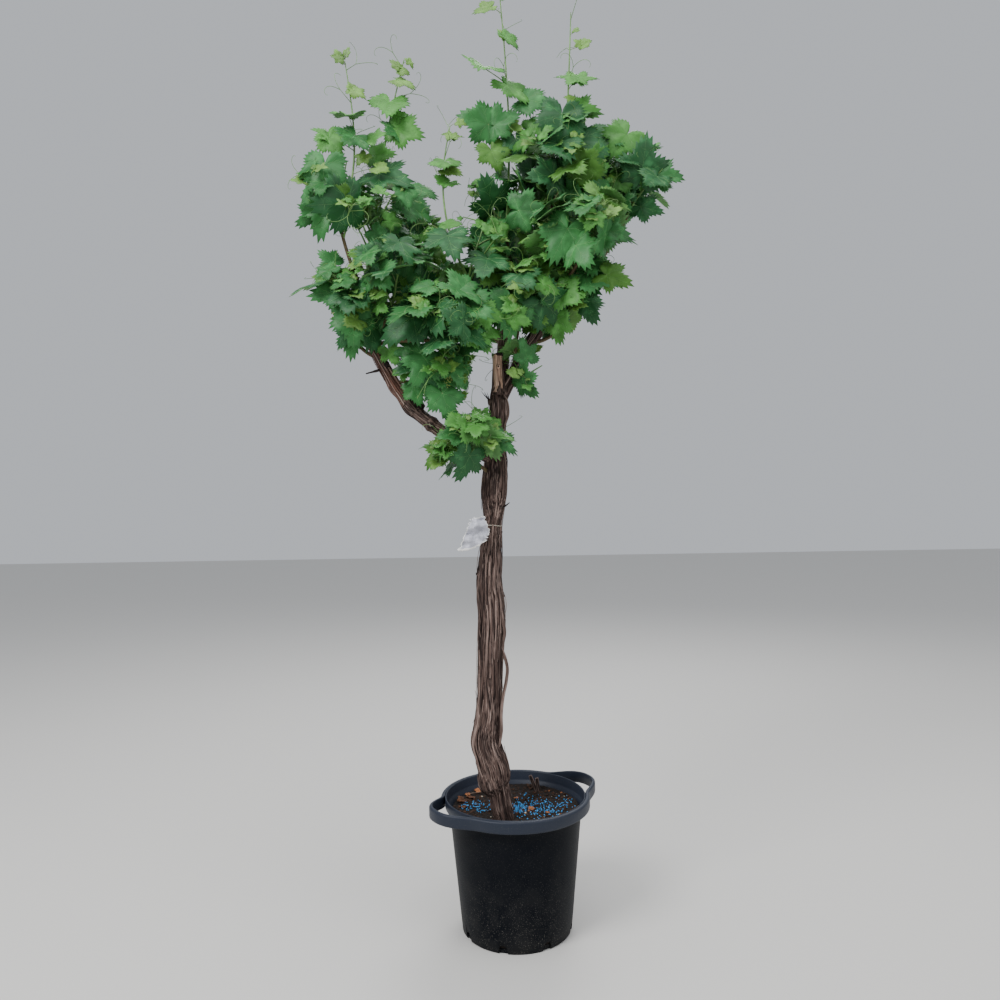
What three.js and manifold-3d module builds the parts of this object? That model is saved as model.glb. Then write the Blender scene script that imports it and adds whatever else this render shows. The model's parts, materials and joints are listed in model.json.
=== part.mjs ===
// A grapevine in a round nursery pot, in millimetres, +Z up.
// The origin is the middle of the pot's flat underside, +X is the viewer's right and +Y points away.
import * as THREE from "three";
import { mergeVertices } from "three/addons/utils/BufferGeometryUtils.js";
import Module from "manifold-3d";

const wasm = await Module();
wasm.setup();

// Pot
const POT_HEIGHT = 345;
const POT_BASE_RADIUS = 143;
const POT_LEDGE_HEIGHT = 306;
const POT_LEDGE_RADIUS = 172;
const POT_NECK_RADIUS = 184;
const POT_WALL = 4;
const POT_FOOT = 4;
const POT_LEDGE_RISE = 13;
const RIM_RADIUS = 195;
const RIM_EDGE = 5;
const RIM_TOP_THICKNESS = 8;
const RIM_SKIRT_BOTTOM = 315;
const RIM_SKIRT_WALL = 4;
const POT_SIDES = 32;
const POT_SLOPE = (POT_LEDGE_RADIUS - POT_BASE_RADIUS) / POT_LEDGE_HEIGHT;
const DRAIN_HOLES = 8;
const DRAIN_RADIUS = 11;
const DRAIN_HEIGHT = 15;
const DRAIN_SIDES = 8;
const DRAIN_ANGLE = THREE.MathUtils.degToRad(30);
const DRAIN_DEPTH = 30;

// Handles of the pot
const HANDLE_ANGLE = THREE.MathUtils.degToRad(31);
const HANDLE_HALF_ARC = THREE.MathUtils.degToRad(31);
const HANDLE_BULGE = 46;
const HANDLE_RISE = 7;
const HANDLE_THICKNESS = 9;
const HANDLE_EDGE = 4;
const HANDLE_TOP_RISE = 0.6;
const HANDLE_STEPS = 14;
const NOTCH = { steps: 8, inside: 0.5, outside: 10, beyond: 5 };

// Compost, and the stump of an old root that stands in it
const COMPOST_HEIGHT = 300;
const COMPOST_MOUND = 7;
const COMPOST_EDGE_DROP = 5;
const COMPOST_SHOULDER = 8;
const COMPOST_CLEARANCE = 1.2;
const STUMP = { x: 66, y: 122, depth: 6, fork: 16, sides: 8 };
const STUMP_PRONGS = [
  { lean: 22, top: 50, radius: 6.6 },
  { lean: 4, top: 42.5, radius: 7.7 },
];

// Blank plant label, a crumpled sheet given by x and z up its two sides, and the string
// that ties it round the trunk
const LABEL = {
  y: -92,
  left: [
    [-135, 990],
    [-115, 1038],
    [-101, 1070],
  ],
  right: [
    [-66, 1014],
    [-55, 1036],
    [-68, 1076],
  ],
  columns: 3,
  thickness: 1.6,
  bend: 7,
};
const TIE = { height: 1053, radius: 1, standOff: 1.6, slack: [-6, -8, -4] };

// Clearance between neighbours
const GAP = 0.3;

// Woody limbs: each station is x, y, z and the radius there
const LIMB_SIDES = 12;
const LIMBS = {
  trunk: [
    [-25, -66, 290, 21],
    [-36, -63, 335, 24],
    [-42, -61, 374, 25],
    [-49, -60, 396, 36],
    [-54, -58, 432, 39.5],
    [-66, -57, 472, 37],
    [-74, -56, 505, 36],
    [-66, -53, 570, 31],
    [-61, -50, 700, 30],
    [-56, -46, 820, 32],
    [-59, -42, 908, 30],
    [-52, -38, 1013, 24],
    [-48, -36, 1060, 21],
    [-43, -32, 1137, 32],
    [-37, -29, 1209, 29],
    [-33, -25, 1282, 22],
    [-28, -22, 1355, 24],
    [-28, -22, 1394, 21],
  ],
  left_arm_lower: [
    [-45, -35, 1222, 18],
    [-110, -44, 1258, 18],
    [-169, -50, 1290, 17.5],
    [-254, -60, 1357, 16],
  ],
  left_arm_upper: [
    [-254, -60, 1357, 16],
    [-300, -66, 1430, 14.5],
    [-342, -70, 1510, 13.5],
    [-345, -68, 1555, 12.5],
    [-325, -60, 1600, 11],
  ],
  trunk_stub: [
    [-27, -34, 1394, 14],
    [-29, -38, 1491, 12.5],
  ],
  right_arm: [
    [-20, -14, 1385, 18],
    [15, -5, 1450, 17],
    [59, 5, 1528, 16],
    [105, 14, 1595, 14],
    [135, 20, 1645, 12],
  ],
  centre_arm: [
    [-28, -2, 1385, 18],
    [-14, 30, 1500, 16],
    [-6, 55, 1620, 14.5],
    [40, 75, 1700, 13],
    [76, 84, 1738, 11],
  ],
};

// Foliage: each mass has a stem that leaves its limb at a share of the limb's length,
// shoots that run from the stem to the edge of the mass's space, and leaves along them.
// A leader is a long shoot that stands out of its mass: it passes via and ends at tip.
const STEM_RADIUS = { foot: 7, wide: 7, narrow: 5.5 };
const SHOOT_RADIUS = { foot: 2.4, wide: 4.4, narrow: 2.3 };
const TWIG_SIDES = 3;
const STEM_STEPS = 6;
const SHOOT_STEPS = 3;
const LEADER_STEPS = 8;
const STALK_FOOT = 0.9;
const MASSES = [
  {
    name: "left_low_leaves", limb: "left_arm_upper", share: 0.55,
    centre: [-415, -70, 1612], reach: [100, 105, 120], shoots: 6, leaves: 5, width: 118, seed: 44723,
  },
  {
    name: "left_high_leaves", limb: "left_arm_upper", share: 0.985,
    centre: [-425, -80, 1888], reach: [95, 105, 115], shoots: 6, leaves: 4, width: 128, seed: 25896,
    leader: {
      via: [-365, -60, 1960], tip: [-406, -60, 2240], leaves: 7, first: 0.35, width: 100, taper: 0.75,
    },
  },
  {
    name: "left_middle_leaves", limb: "left_arm_upper", share: 0.9,
    centre: [-345, 0, 1880], reach: [105, 120, 150], shoots: 6, leaves: 5, width: 115, seed: 3,
    leader: {
      via: [-330, -10, 2010], tip: [-262, 0, 2275], leaves: 7, first: 0.3, width: 112, taper: 0.72,
    },
  },
  {
    name: "left_heart_leaves", limb: "left_arm_upper", share: 0.77,
    centre: [-290, -80, 1660], reach: [110, 110, 130], shoots: 7, leaves: 5, width: 120, seed: 20061,
  },
  {
    name: "elbow_leaves", limb: "left_arm_upper", share: 0.25,
    centre: [-190, -80, 1445], reach: [75, 80, 110], shoots: 5, leaves: 4, width: 95, seed: 66275,
  },
  {
    name: "front_low_leaves", limb: "left_arm_upper", share: 0.66,
    centre: [-165, -120, 1560], reach: [115, 100, 100], shoots: 6, leaves: 5, width: 118, seed: 39224,
  },
  {
    name: "centre_leaves", limb: "centre_arm", share: 0.55,
    centre: [-102, -20, 1735], reach: [115, 120, 130], shoots: 7, leaves: 5, width: 122, seed: 7,
    leader: {
      via: [-190, 0, 1880], tip: [-143, -20, 2090], leaves: 6, first: 0.35, width: 85, taper: 0.65,
    },
  },
  {
    name: "centre_high_leaves", limb: "centre_arm", share: 0.85,
    centre: [-3, 30, 1885], reach: [125, 120, 120], shoots: 6, leaves: 5, width: 125, seed: 8,
    leader: {
      via: [25, 50, 2080], tip: [-14, 40, 2540], leaves: 8, first: 0.2, width: 115, taper: 0.65,
    },
  },
  {
    name: "right_heart_leaves", limb: "right_arm", share: 0.3,
    centre: [32, -50, 1625], reach: [90, 100, 110], shoots: 6, leaves: 5, width: 118, seed: 4320,
  },
  {
    name: "right_low_leaves", limb: "right_arm", share: 0.55,
    centre: [172, 10, 1645], reach: [122, 115, 118], shoots: 7, leaves: 5, width: 128, seed: 3035,
  },
  {
    name: "right_front_leaves", limb: "right_arm", share: 0.75,
    centre: [192, -90, 1780], reach: [120, 110, 108], shoots: 7, leaves: 5, width: 120, seed: 1141,
  },
  {
    name: "right_high_leaves", limb: "centre_arm", share: 0.985,
    centre: [160, 40, 2020], reach: [145, 120, 120], shoots: 8, leaves: 5, width: 120, seed: 51878,
    leader: {
      via: [168, 20, 2140], tip: [180, 20, 2405], leaves: 7, first: 0.2, width: 118, taper: 0.75,
    },
  },
  {
    name: "right_far_leaves", limb: "right_arm", share: 0.985,
    centre: [352, 120, 1978], reach: [115, 115, 112], shoots: 7, leaves: 4, width: 118, seed: 51300,
  },
  {
    name: "back_left_leaves", limb: "centre_arm", share: 0.4,
    centre: [-230, 200, 1840], reach: [130, 120, 170], shoots: 7, leaves: 4, width: 122, seed: 89654,
  },
  {
    name: "back_right_leaves", limb: "centre_arm", share: 0.7,
    centre: [110, 230, 1880], reach: [170, 130, 170], shoots: 8, leaves: 4, width: 122, seed: 37163,
  },
  {
    name: "trunk_leaves", limb: "trunk", share: 0.805,
    centre: [-107, -85, 1268], reach: [100, 80, 80], shoots: 6, leaves: 4, width: 86, seed: 31080,
  },
  {
    name: "stub_leaves", limb: "right_arm", share: 0.12,
    centre: [38, -45, 1448], reach: [60, 60, 72], shoots: 5, leaves: 3, width: 76, seed: 6761,
  },
];

// Flower clusters: each hangs from the shoot of its mass that comes nearest to a place
const FLOWERS = [
  { mass: "left_low_leaves", near: [-500, -110, 1640], length: 75, width: 24 },
  { mass: "elbow_leaves", near: [-110, -80, 1480], length: 62, width: 22 },
];
const FLOWER_SIDES = 5;
const FLOWER_AIM = [-0.12, -0.25, -1];
// The cluster's width down its length, as shares of the widest place
const FLOWER_PROFILE = [
  [0, 0.12],
  [0.25, 0.9],
  [0.6, 1],
  [1, 0.2],
];

// A mass's stem: it rises from its limb and comes into the mass from below
const STEM_CURVE = { below: 0.35, tilt: 0.3, start: 0.3, end: 0.12 };
// Shoots: where they leave the stem, how high and how far they end, and how they bend
const SHOOT_CURVE = { from: 0.62, spacing: 0.36, rise: 1.55, reach: 0.72, more: 0.2 };
const SHOOT_BEND = { start: 0.35, end: 0.3, lift: 0.6, close: 0.4 };
const LEADER_FROM = 0.9;
const LEADER_CENTRE = [0, 60, -200];

// Leaves along a shoot: the first, how they shrink towards its tip, how they hang and face
const FIRST_LEAF = 0.15;
const SHOOT_TAPER = 0.45;
const SHOOT_DROOP = 0.5;
const LEADER_DROOP = 0.35;
const MASS_FACING = { up: 0.55, out: 0.55, front: 0.5, stray: 0.55 };
const LEADER_FACING = { up: 0.3, out: 0.3, front: 0.55, stray: 0.7 };
const LEAF_PACE = 0.3;
const LEAF_SHRINK = 2.2;
const LEAF_VARIETY = 0.18;
const LEAF_SWING = 0.9;
const LEAF_LEAN = { run: 0.45, out: 0.5, up: 0.15 };
const LEAF_STALK = { length: 0.42, more: 0.25 };
const LEAF_AIM = { lean: 0.7, stray: 0.6 };
const LEAF_TRIES = 7;
const LIMB_MARGIN = 6;
const REACH_SLACK = 1.12;
const CROWDING = 0.205;

// Half of a leaf's outline for a width of 1: along it from its stalk, and across.
// Its faces spread from a heart near the stalk, and its edge droops away from its middle.
const LEAF_OUTLINE = [
  [0, 0.035],
  [-0.1, 0.42],
  [0.31, 0.31],
  [0.62, 0.42],
  [0.98, 0],
];
const LEAF_HEART = { along: 0.07, over: 0.022, under: -0.02 };
const LEAF_MIDDLE = 0.36;
const LEAF_DROOP = 0.12;
// Places on a leaf, along and across, that are tested against limbs and other leaves
const LEAF_SAMPLES = [
  [0.38, 0],
  [0.78, 0],
  [0.45, 0.36],
  [0.45, -0.36],
  [0.02, 0.3],
  [0.02, -0.3],
];

const UP = new THREE.Vector3(0, 0, 1);
const FRONT = new THREE.Vector3(0, -1, 0);
const GOLDEN_ANGLE = Math.PI * (3 - Math.sqrt(5));
const FULL_TURN = 2 * Math.PI;

// Vector helpers

const vector = (list) => new THREE.Vector3(list[0], list[1], list[2]);
const plus = (a, b, share = 1) => a.clone().addScaledVector(b, share);
const minus = (a, b) => a.clone().sub(b);
const unit = (a) => a.clone().normalize();
const squareTo = (a, axis) => plus(a, axis, -a.dot(axis)).normalize();

// An even number from 0 to 1 for one draw on one item, the same on each run.
function draw(seed, item, channel) {
  let h = Math.imul(seed, 374761393) + Math.imul(item, 668265263) + Math.imul(channel, 1274126177) + 974711;
  h >>>= 0;
  h = Math.imul(h ^ (h >>> 13), 1274126177) >>> 0;
  h = Math.imul(h ^ (h >>> 16), 2246822519) >>> 0;
  return ((h ^ (h >>> 15)) >>> 0) / 4294967296;
}

const spread = (seed, item, channel) => 2 * draw(seed, item, channel) - 1;

// Solids

// A solid from its corners and its triangles.
function solidFrom(points, triangles) {
  const vertProperties = new Float32Array(points.flatMap((p) => [p.x, p.y, p.z]));
  const triVerts = new Uint32Array(triangles.flat());
  return new wasm.Manifold(new wasm.Mesh({ numProp: 3, vertProperties, triVerts }));
}

// A solid from a closed three.js geometry.
function solidOf(geometry) {
  const bare = geometry.clone();
  bare.deleteAttribute("normal");
  bare.deleteAttribute("uv");
  const merged = mergeVertices(bare, 1e-3);
  const corners = merged.index.array;
  const triangles = [];
  for (let i = 0; i < corners.length; i += 3) {
    const [a, b, c] = corners.slice(i, i + 3);
    if (a !== b && b !== c && c !== a) triangles.push([a, b, c]);
  }
  const place = merged.getAttribute("position");
  const points = [];
  for (let i = 0; i < place.count; i++) points.push(new THREE.Vector3().fromBufferAttribute(place, i));
  return solidFrom(points, triangles);
}

// A solid turned about the Z axis from a closed profile of [radius, height] points.
function turned(profile, sides) {
  const points = profile.map(([radius, height]) => new THREE.Vector2(radius, height));
  return solidOf(new THREE.LatheGeometry(points, sides).rotateX(Math.PI / 2));
}

// The largest body of a solid, without loose scraps or sealed hollows.
function mainBody(solid) {
  return solid.decompose().reduce((best, body) => (body.volume() > best.volume() ? body : best));
}

// A solid through rings of points, closed by a flat fan at each end.
function skinned(rings) {
  const sides = rings[0].length;
  const triangles = [];
  for (let i = 0; i + 1 < rings.length; i++)
    for (let k = 0; k < sides; k++) {
      const next = (k + 1) % sides;
      const [a, b] = [i * sides + k, i * sides + next];
      triangles.push([a, b, b + sides], [a, b + sides, a + sides]);
    }
  const last = (rings.length - 1) * sides;
  for (let k = 1; k + 1 < sides; k++) {
    triangles.push([0, k + 1, k]);
    triangles.push([last, last + k, last + k + 1]);
  }
  return solidFrom(rings.flat(), triangles);
}

// The rings of a tube: stations are {at, radius}, and relief gives a factor on the radius.
function tubeRings(stations, sides, relief = () => 1) {
  let side = null;
  return stations.map(({ at, radius, level }, i) => {
    const before = stations[Math.max(0, i - 1)].at;
    const after = stations[Math.min(stations.length - 1, i + 1)].at;
    const run = level ? UP : unit(minus(after, before));
    side = squareTo(side ?? (Math.abs(run.y) < 0.9 ? new THREE.Vector3(0, 1, 0) : UP), run);
    const other = run.clone().cross(side);
    return Array.from({ length: sides }, (_, k) => {
      const turn = (FULL_TURN * k) / sides;
      const reach = radius * relief(turn, at);
      return plus(plus(at, side, reach * Math.cos(turn)), other, reach * Math.sin(turn));
    });
  });
}

const tube = (stations, sides, relief) => skinned(tubeRings(stations, sides, relief));

// Limbs

// The trunk's and the arms' section is fluted: long ribs that wind slowly round.
function fluted(turn, at) {
  return 1 + 0.05 * Math.sin(2 * turn + at.z / 170) + 0.045 * Math.sin(5 * turn - at.z / 240);
}

// A limb's stations, made wider and longer by grow.
function limbStations(name, grow = 0) {
  const rows = LIMBS[name];
  const stations = rows.map((row) => ({ at: vector(row), radius: row[3] + grow }));
  const last = stations.length - 1;
  const start = unit(minus(stations[0].at, stations[1].at));
  const end = unit(minus(stations[last].at, stations[last - 1].at));
  stations[0].at = plus(stations[0].at, start, grow);
  stations[last].at = plus(stations[last].at, end, grow);
  stations[0].level = name === "trunk";
  return stations;
}

const limbSolid = (name, grow) => tube(limbStations(name, grow), LIMB_SIDES, fluted);

// The point and the direction at a share of a limb's length.
function alongLimb(name, share) {
  const points = LIMBS[name].map(vector);
  const runs = points.slice(1).map((point, i) => point.distanceTo(points[i]));
  let left = share * runs.reduce((sum, run) => sum + run, 0);
  let i = 0;
  while (i + 1 < runs.length && left > runs[i]) left -= runs[i++];
  const step = minus(points[i + 1], points[i]);
  return { at: plus(points[i], step, left / runs[i]), run: unit(step) };
}

const LIMB_PARTS = Object.values(LIMBS).flatMap((rows) =>
  rows.slice(1).map((row, i) => ({
    from: vector(rows[i]),
    step: minus(vector(row), vector(rows[i])),
    radius: Math.max(row[3], rows[i][3]),
  })),
);

function clearOfLimbs(point) {
  return LIMB_PARTS.every(({ from, step, radius }) => {
    const share = THREE.MathUtils.clamp(minus(point, from).dot(step) / step.lengthSq(), 0, 1);
    return point.distanceTo(plus(from, step, share)) >= radius + LIMB_MARGIN;
  });
}

// Shoots

const curve = (p0, p1, p2, p3) => [p0, p1, p2, p3];

function curvePoint(path, t) {
  const s = 1 - t;
  const shares = [s * s * s, 3 * s * s * t, 3 * s * t * t, t * t * t];
  return path.reduce((sum, point, i) => plus(sum, point, shares[i]), new THREE.Vector3());
}

function curveRun(path, t) {
  const s = 1 - t;
  const shares = [3 * s * s, 6 * s * t, 3 * t * t];
  const steps = shares.map((share, i) => minus(path[i + 1], path[i]).multiplyScalar(share));
  return steps[0].add(steps[1]).add(steps[2]).normalize();
}

// A point on the straight steps that stand for a curve.
function linePoint(path, steps, t) {
  const i = Math.min(Math.floor(t * steps), steps - 1);
  return curvePoint(path, i / steps).lerp(curvePoint(path, (i + 1) / steps), t * steps - i);
}

// A twig along a curve. Its foot is slim enough to stay inside the twig that bears it.
function curveTube(path, steps, { foot, wide, narrow }, swell) {
  const stations = Array.from({ length: steps + 1 }, (_, i) => ({
    at: curvePoint(path, i / steps),
    radius: swell + (i ? THREE.MathUtils.lerp(wide, narrow, i / steps) : foot),
  }));
  return tube(stations, TWIG_SIDES);
}

// A mass's stem, and its shoots, which end near the edge of its space.
function massShoots(mass) {
  const centre = vector(mass.centre);
  const [wide, deep, high] = mass.reach;
  const { at: root, run } = alongLimb(mass.limb, mass.share);
  const hub = plus(centre, UP, -STEM_CURVE.below * high);
  const span = hub.distanceTo(root);
  const start = unit(plus(squareTo(minus(hub, root), run), UP, STEM_CURVE.tilt));
  const rising = plus(root, start, STEM_CURVE.start * span);
  const stem = curve(root, rising, plus(hub, UP, -STEM_CURVE.end * span), hub);
  const shoots = [];
  for (let i = 0; i < mass.shoots; i++) {
    const rise = 1 - (SHOOT_CURVE.rise * (i + 0.5)) / mass.shoots;
    const turn = GOLDEN_ANGLE * i + FULL_TURN * draw(mass.seed, 900 + i, 1);
    const ring = Math.sqrt(Math.max(0, 1 - rise * rise));
    const aim = new THREE.Vector3(ring * Math.cos(turn), ring * Math.sin(turn), rise);
    const far = SHOOT_CURVE.reach + SHOOT_CURVE.more * draw(mass.seed, 900 + i, 2);
    const tip = new THREE.Vector3(wide * aim.x * far, deep * aim.y * far, high * aim.z * far).add(centre);
    const along = SHOOT_CURVE.from + (SHOOT_CURVE.spacing * (mass.shoots - i)) / mass.shoots;
    const begin = linePoint(stem, STEM_STEPS, along);
    const way = tip.distanceTo(begin);
    const lift = plus(begin, unit(plus(UP, aim, SHOOT_BEND.lift)), SHOOT_BEND.start * way);
    const close = plus(tip, unit(plus(aim, UP, SHOOT_BEND.close)), -SHOOT_BEND.end * way);
    shoots.push({
      path: curve(begin, lift, close, tip),
      steps: SHOOT_STEPS,
      turn: FULL_TURN * draw(mass.seed, 900 + i, 4),
      leaves: mass.leaves,
      first: FIRST_LEAF,
      width: mass.width,
      taper: SHOOT_TAPER,
      droop: SHOOT_DROOP,
      facing: MASS_FACING,
      centre,
      bound: true,
    });
  }
  if (mass.leader) {
    const { via, tip, ...leader } = mass.leader;
    const [bend, end] = [vector(via), vector(tip)];
    shoots.push({
      ...leader,
      path: curve(linePoint(stem, STEM_STEPS, LEADER_FROM), bend, plus(bend, minus(end, bend), 0.5), end),
      steps: LEADER_STEPS,
      turn: FULL_TURN * draw(mass.seed, 950, 4),
      droop: LEADER_DROOP,
      facing: LEADER_FACING,
      centre: plus(bend, vector(LEADER_CENTRE)),
      bound: false,
    });
  }
  return { stem, shoots };
}

// Leaves

// A point on a leaf, along and across it and lifted off it, in shares of its width.
function leafPoint(leaf, along, across, lift = 0) {
  const { base, width } = leaf;
  const place = plus(base, leaf.along, along * width);
  place.addScaledVector(leaf.across, across * width);
  return place.addScaledVector(leaf.normal, lift * width);
}

// One try at the leaf at a place on a shoot.
function leafAt(mass, shoot, index, order, attempt) {
  const { seed } = mass;
  const item = index * 100 + order * 8 + attempt;
  const pace = (order + 0.5 + LEAF_PACE * spread(seed, item, 1)) / shoot.leaves;
  const t = Math.min(shoot.first + (1 - shoot.first) * pace, 1);
  const variety = 1 + LEAF_VARIETY * spread(seed, item, 2);
  const width = shoot.width * (1 - shoot.taper * t ** LEAF_SHRINK) * variety;
  const root = linePoint(shoot.path, shoot.steps, t);
  const run = curveRun(shoot.path, t);
  const side = squareTo(Math.abs(run.z) < 0.8 ? UP : FRONT, run);
  const turn = Math.PI * order + LEAF_SWING * spread(seed, item, 3) + shoot.turn;
  const away = plus(side.clone().multiplyScalar(Math.cos(turn)), run.clone().cross(side), Math.sin(turn));
  const out = unit(minus(root, shoot.centre));
  const lean = unit(plus(plus(plus(away, run, LEAF_LEAN.run), out, LEAF_LEAN.out), UP, LEAF_LEAN.up));
  const base = plus(root, lean, width * (LEAF_STALK.length + LEAF_STALK.more * draw(seed, item, 4)));
  const stray = new THREE.Vector3(spread(seed, item, 5), spread(seed, item, 6), spread(seed, item, 7));
  const { facing } = shoot;
  const normal = UP.clone().multiplyScalar(facing.up).addScaledVector(out, facing.out);
  normal.addScaledVector(FRONT, facing.front).addScaledVector(stray, facing.stray).normalize();
  const aim = lean.clone().multiplyScalar(LEAF_AIM.lean).addScaledVector(UP, -shoot.droop);
  const sway = new THREE.Vector3(spread(seed, item, 8), 0, spread(seed, item, 9));
  aim.addScaledVector(sway, LEAF_AIM.stray);
  const along = squareTo(aim, normal);
  const leaf = { root, base, along, across: normal.clone().cross(along), normal, width };
  leaf.samples = LEAF_SAMPLES.map(([u, v]) => leafPoint(leaf, u, v));
  return leaf;
}

function insideMass(mass, point) {
  const step = minus(point, vector(mass.centre));
  const [wide, deep, high] = mass.reach.map((reach) => reach * REACH_SLACK);
  return (step.x / wide) ** 2 + (step.y / deep) ** 2 + (step.z / high) ** 2 <= 1;
}

function crowded(leaf, kept) {
  return kept.some((other) => {
    if (leaf.samples[0].distanceTo(other.samples[0]) > leaf.width + other.width) return false;
    const gap = CROWDING * Math.min(leaf.width, other.width);
    return leaf.samples.some((p) => other.samples.some((q) => p.distanceTo(q) < gap));
  });
}

// The leaves that one shoot carries, set in turn on its two sides where there is room.
function shootLeaves(mass, shoot, index, kept) {
  const leaves = [];
  for (let order = 0; order < shoot.leaves; order++)
    for (let attempt = 0; attempt < LEAF_TRIES; attempt++) {
      const leaf = leafAt(mass, shoot, index, order, attempt);
      if (!leaf.samples.every(clearOfLimbs)) continue;
      if (shoot.bound && !insideMass(mass, leaf.samples[0])) continue;
      if (crowded(leaf, kept)) continue;
      kept.push(leaf);
      leaves.push(leaf);
      break;
    }
  return leaves;
}

// A leaf as one solid: a thin blade over its outline, and a three-sided stalk that tapers
// from the heart of the blade into its shoot. Swell makes it wider for tests of room.
function leafSolid(leaf, swell = 0) {
  const wider = swell / leaf.width;
  const mirrored = LEAF_OUTLINE.slice(0, -1).reverse().map(([along, across]) => [along, -across]);
  const edge = [...LEAF_OUTLINE, ...mirrored].map(([along, across]) => {
    const far = along - LEAF_MIDDLE;
    const droop = LEAF_DROOP * (far ** 2 + across ** 2);
    return leafPoint(leaf, LEAF_MIDDLE + far * (1 + wider), across * (1 + wider), -droop);
  });
  const over = leafPoint(leaf, LEAF_HEART.along, 0, LEAF_HEART.over + wider);
  const under = leafPoint(leaf, LEAF_HEART.along, 0, LEAF_HEART.under - wider);
  const last = edge.length - 1;
  const [overHeart, underHeart, foot] = [last + 1, last + 2, last + 3];
  const triangles = [];
  for (let k = 0; k < last; k++) triangles.push([k + 1, overHeart, k], [k, underHeart, k + 1]);
  // The stalk meets the blade on the side that it comes from, and the other side is closed.
  const fromAbove = minus(leaf.base, leaf.root).dot(leaf.normal) < 0;
  if (fromAbove) triangles.push([last, underHeart, 0]);
  else triangles.push([0, overHeart, last]);
  const mouth = fromAbove ? [0, overHeart, last] : [last, underHeart, 0];
  const points = [...edge, over, under];
  const middle = mouth.reduce((sum, k) => plus(sum, points[k], 1 / 3), new THREE.Vector3());
  const size = Math.max(...mouth.map((k) => points[k].distanceTo(middle)));
  const narrowing = (STALK_FOOT + swell) / size;
  for (const k of mouth) points.push(plus(leaf.root, minus(points[k], middle), narrowing));
  for (let k = 0; k < 3; k++) {
    const next = (k + 1) % 3;
    triangles.push([mouth[k], mouth[next], foot + next], [mouth[k], foot + next, foot + k]);
  }
  triangles.push([foot, foot + 1, foot + 2]);
  return outward(solidFrom(points, triangles));
}

// Flowers

// A cluster of flowers as one spindle that hangs from a shoot, or none for a mass without.
function flowerCluster(mass, shoots) {
  const flowers = FLOWERS.find((one) => one.mass === mass.name);
  if (!flowers) return null;
  const near = vector(flowers.near);
  const shares = [0.5, 0.6, 0.7, 0.8];
  const places = shoots
    .filter((shoot) => shoot.solid && shoot.bound)
    .flatMap((shoot) => shares.map((share) => ({ shoot, top: linePoint(shoot.path, shoot.steps, share) })));
  const best = places.reduce((a, b) => (b.top.distanceTo(near) < a.top.distanceTo(near) ? b : a));
  const aim = unit(vector(FLOWER_AIM));
  const cluster = (swell) =>
    tube(
      FLOWER_PROFILE.map(([share, size]) => ({
        at: plus(best.top, aim, share * flowers.length),
        radius: swell + (size * flowers.width) / 2,
      })),
      FLOWER_SIDES,
    );
  return { cluster, shoot: best.shoot };
}

// Joining and clearing

const joined = (solids) => solids.reduce((whole, solid) => whole.add(solid));
const cutBy = (solid, ...others) => others.reduce((rest, other) => rest.subtract(other), solid);
const meets = (a, b) => a.intersect(b).volume() > 0;

// A thing that has been placed, with the box that it fills, for quick tests against others.
function placed(solid, mass, shoot) {
  const { min, max } = solid.boundingBox();
  return { solid, mass, shoot, min, max };
}

const boxesMeet = (a, b) => [0, 1, 2].every((k) => a.min[k] <= b.max[k] && b.min[k] <= a.max[k]);

function hits(item, others) {
  return others.some((other) => boxesMeet(item, other) && meets(item.solid, other.solid));
}

// Every mass of foliage as one solid: the shoots are set first, then the flowers, then the leaves
// one by one, and what would touch a limb, another leaf or another mass is left out.
function foliage() {
  const grownLimbs = Object.keys(LIMBS).map((name) => placed(limbSolid(name, GAP)));
  const twigs = [];
  const grown = MASSES.map((mass) => {
    const { stem, shoots } = massShoots(mass);
    const stemTube = (swell) => curveTube(stem, STEM_STEPS, STEM_RADIUS, swell);
    twigs.push(placed(stemTube(GAP), mass));
    return { mass, stem: stemTube(0), shoots };
  });
  for (const { mass, shoots } of grown)
    for (const shoot of shoots) {
      const shootTube = (swell) => curveTube(shoot.path, shoot.steps, SHOOT_RADIUS, swell);
      const wide = placed(shootTube(GAP), mass, shoot);
      if (hits(wide, [...grownLimbs, ...twigs.filter((twig) => twig.mass !== mass)])) continue;
      twigs.push(wide);
      shoot.solid = shootTube(0);
    }
  const kept = [];
  const leaves = [];
  for (const item of grown) {
    item.parts = [item.stem];
    const flowers = flowerCluster(item.mass, item.shoots);
    if (!flowers) continue;
    const wide = placed(flowers.cluster(GAP));
    if (hits(wide, [...grownLimbs, ...twigs.filter((twig) => twig.shoot !== flowers.shoot)])) continue;
    leaves.push(wide);
    item.parts.push(flowers.cluster(0));
  }
  for (const item of grown)
    item.shoots.forEach((shoot, index) => {
      const own = shootLeaves(item.mass, shoot, index, kept);
      if (!shoot.solid) return;
      item.parts.push(shoot.solid);
      const others = [...grownLimbs, ...twigs.filter((twig) => twig.shoot !== shoot)];
      for (const leaf of own) {
        const wide = placed(leafSolid(leaf, GAP));
        if (hits(wide, leaves) || hits(wide, others)) continue;
        leaves.push(wide);
        item.parts.push(leafSolid(leaf));
      }
    });
  return grown.map(({ mass, parts }) => {
    const solid = cutBy(joined(parts), ...grownLimbs.map((limb) => limb.solid));
    return { name: mass.name, solid: mainBody(solid) };
  });
}

// Pot

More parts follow.
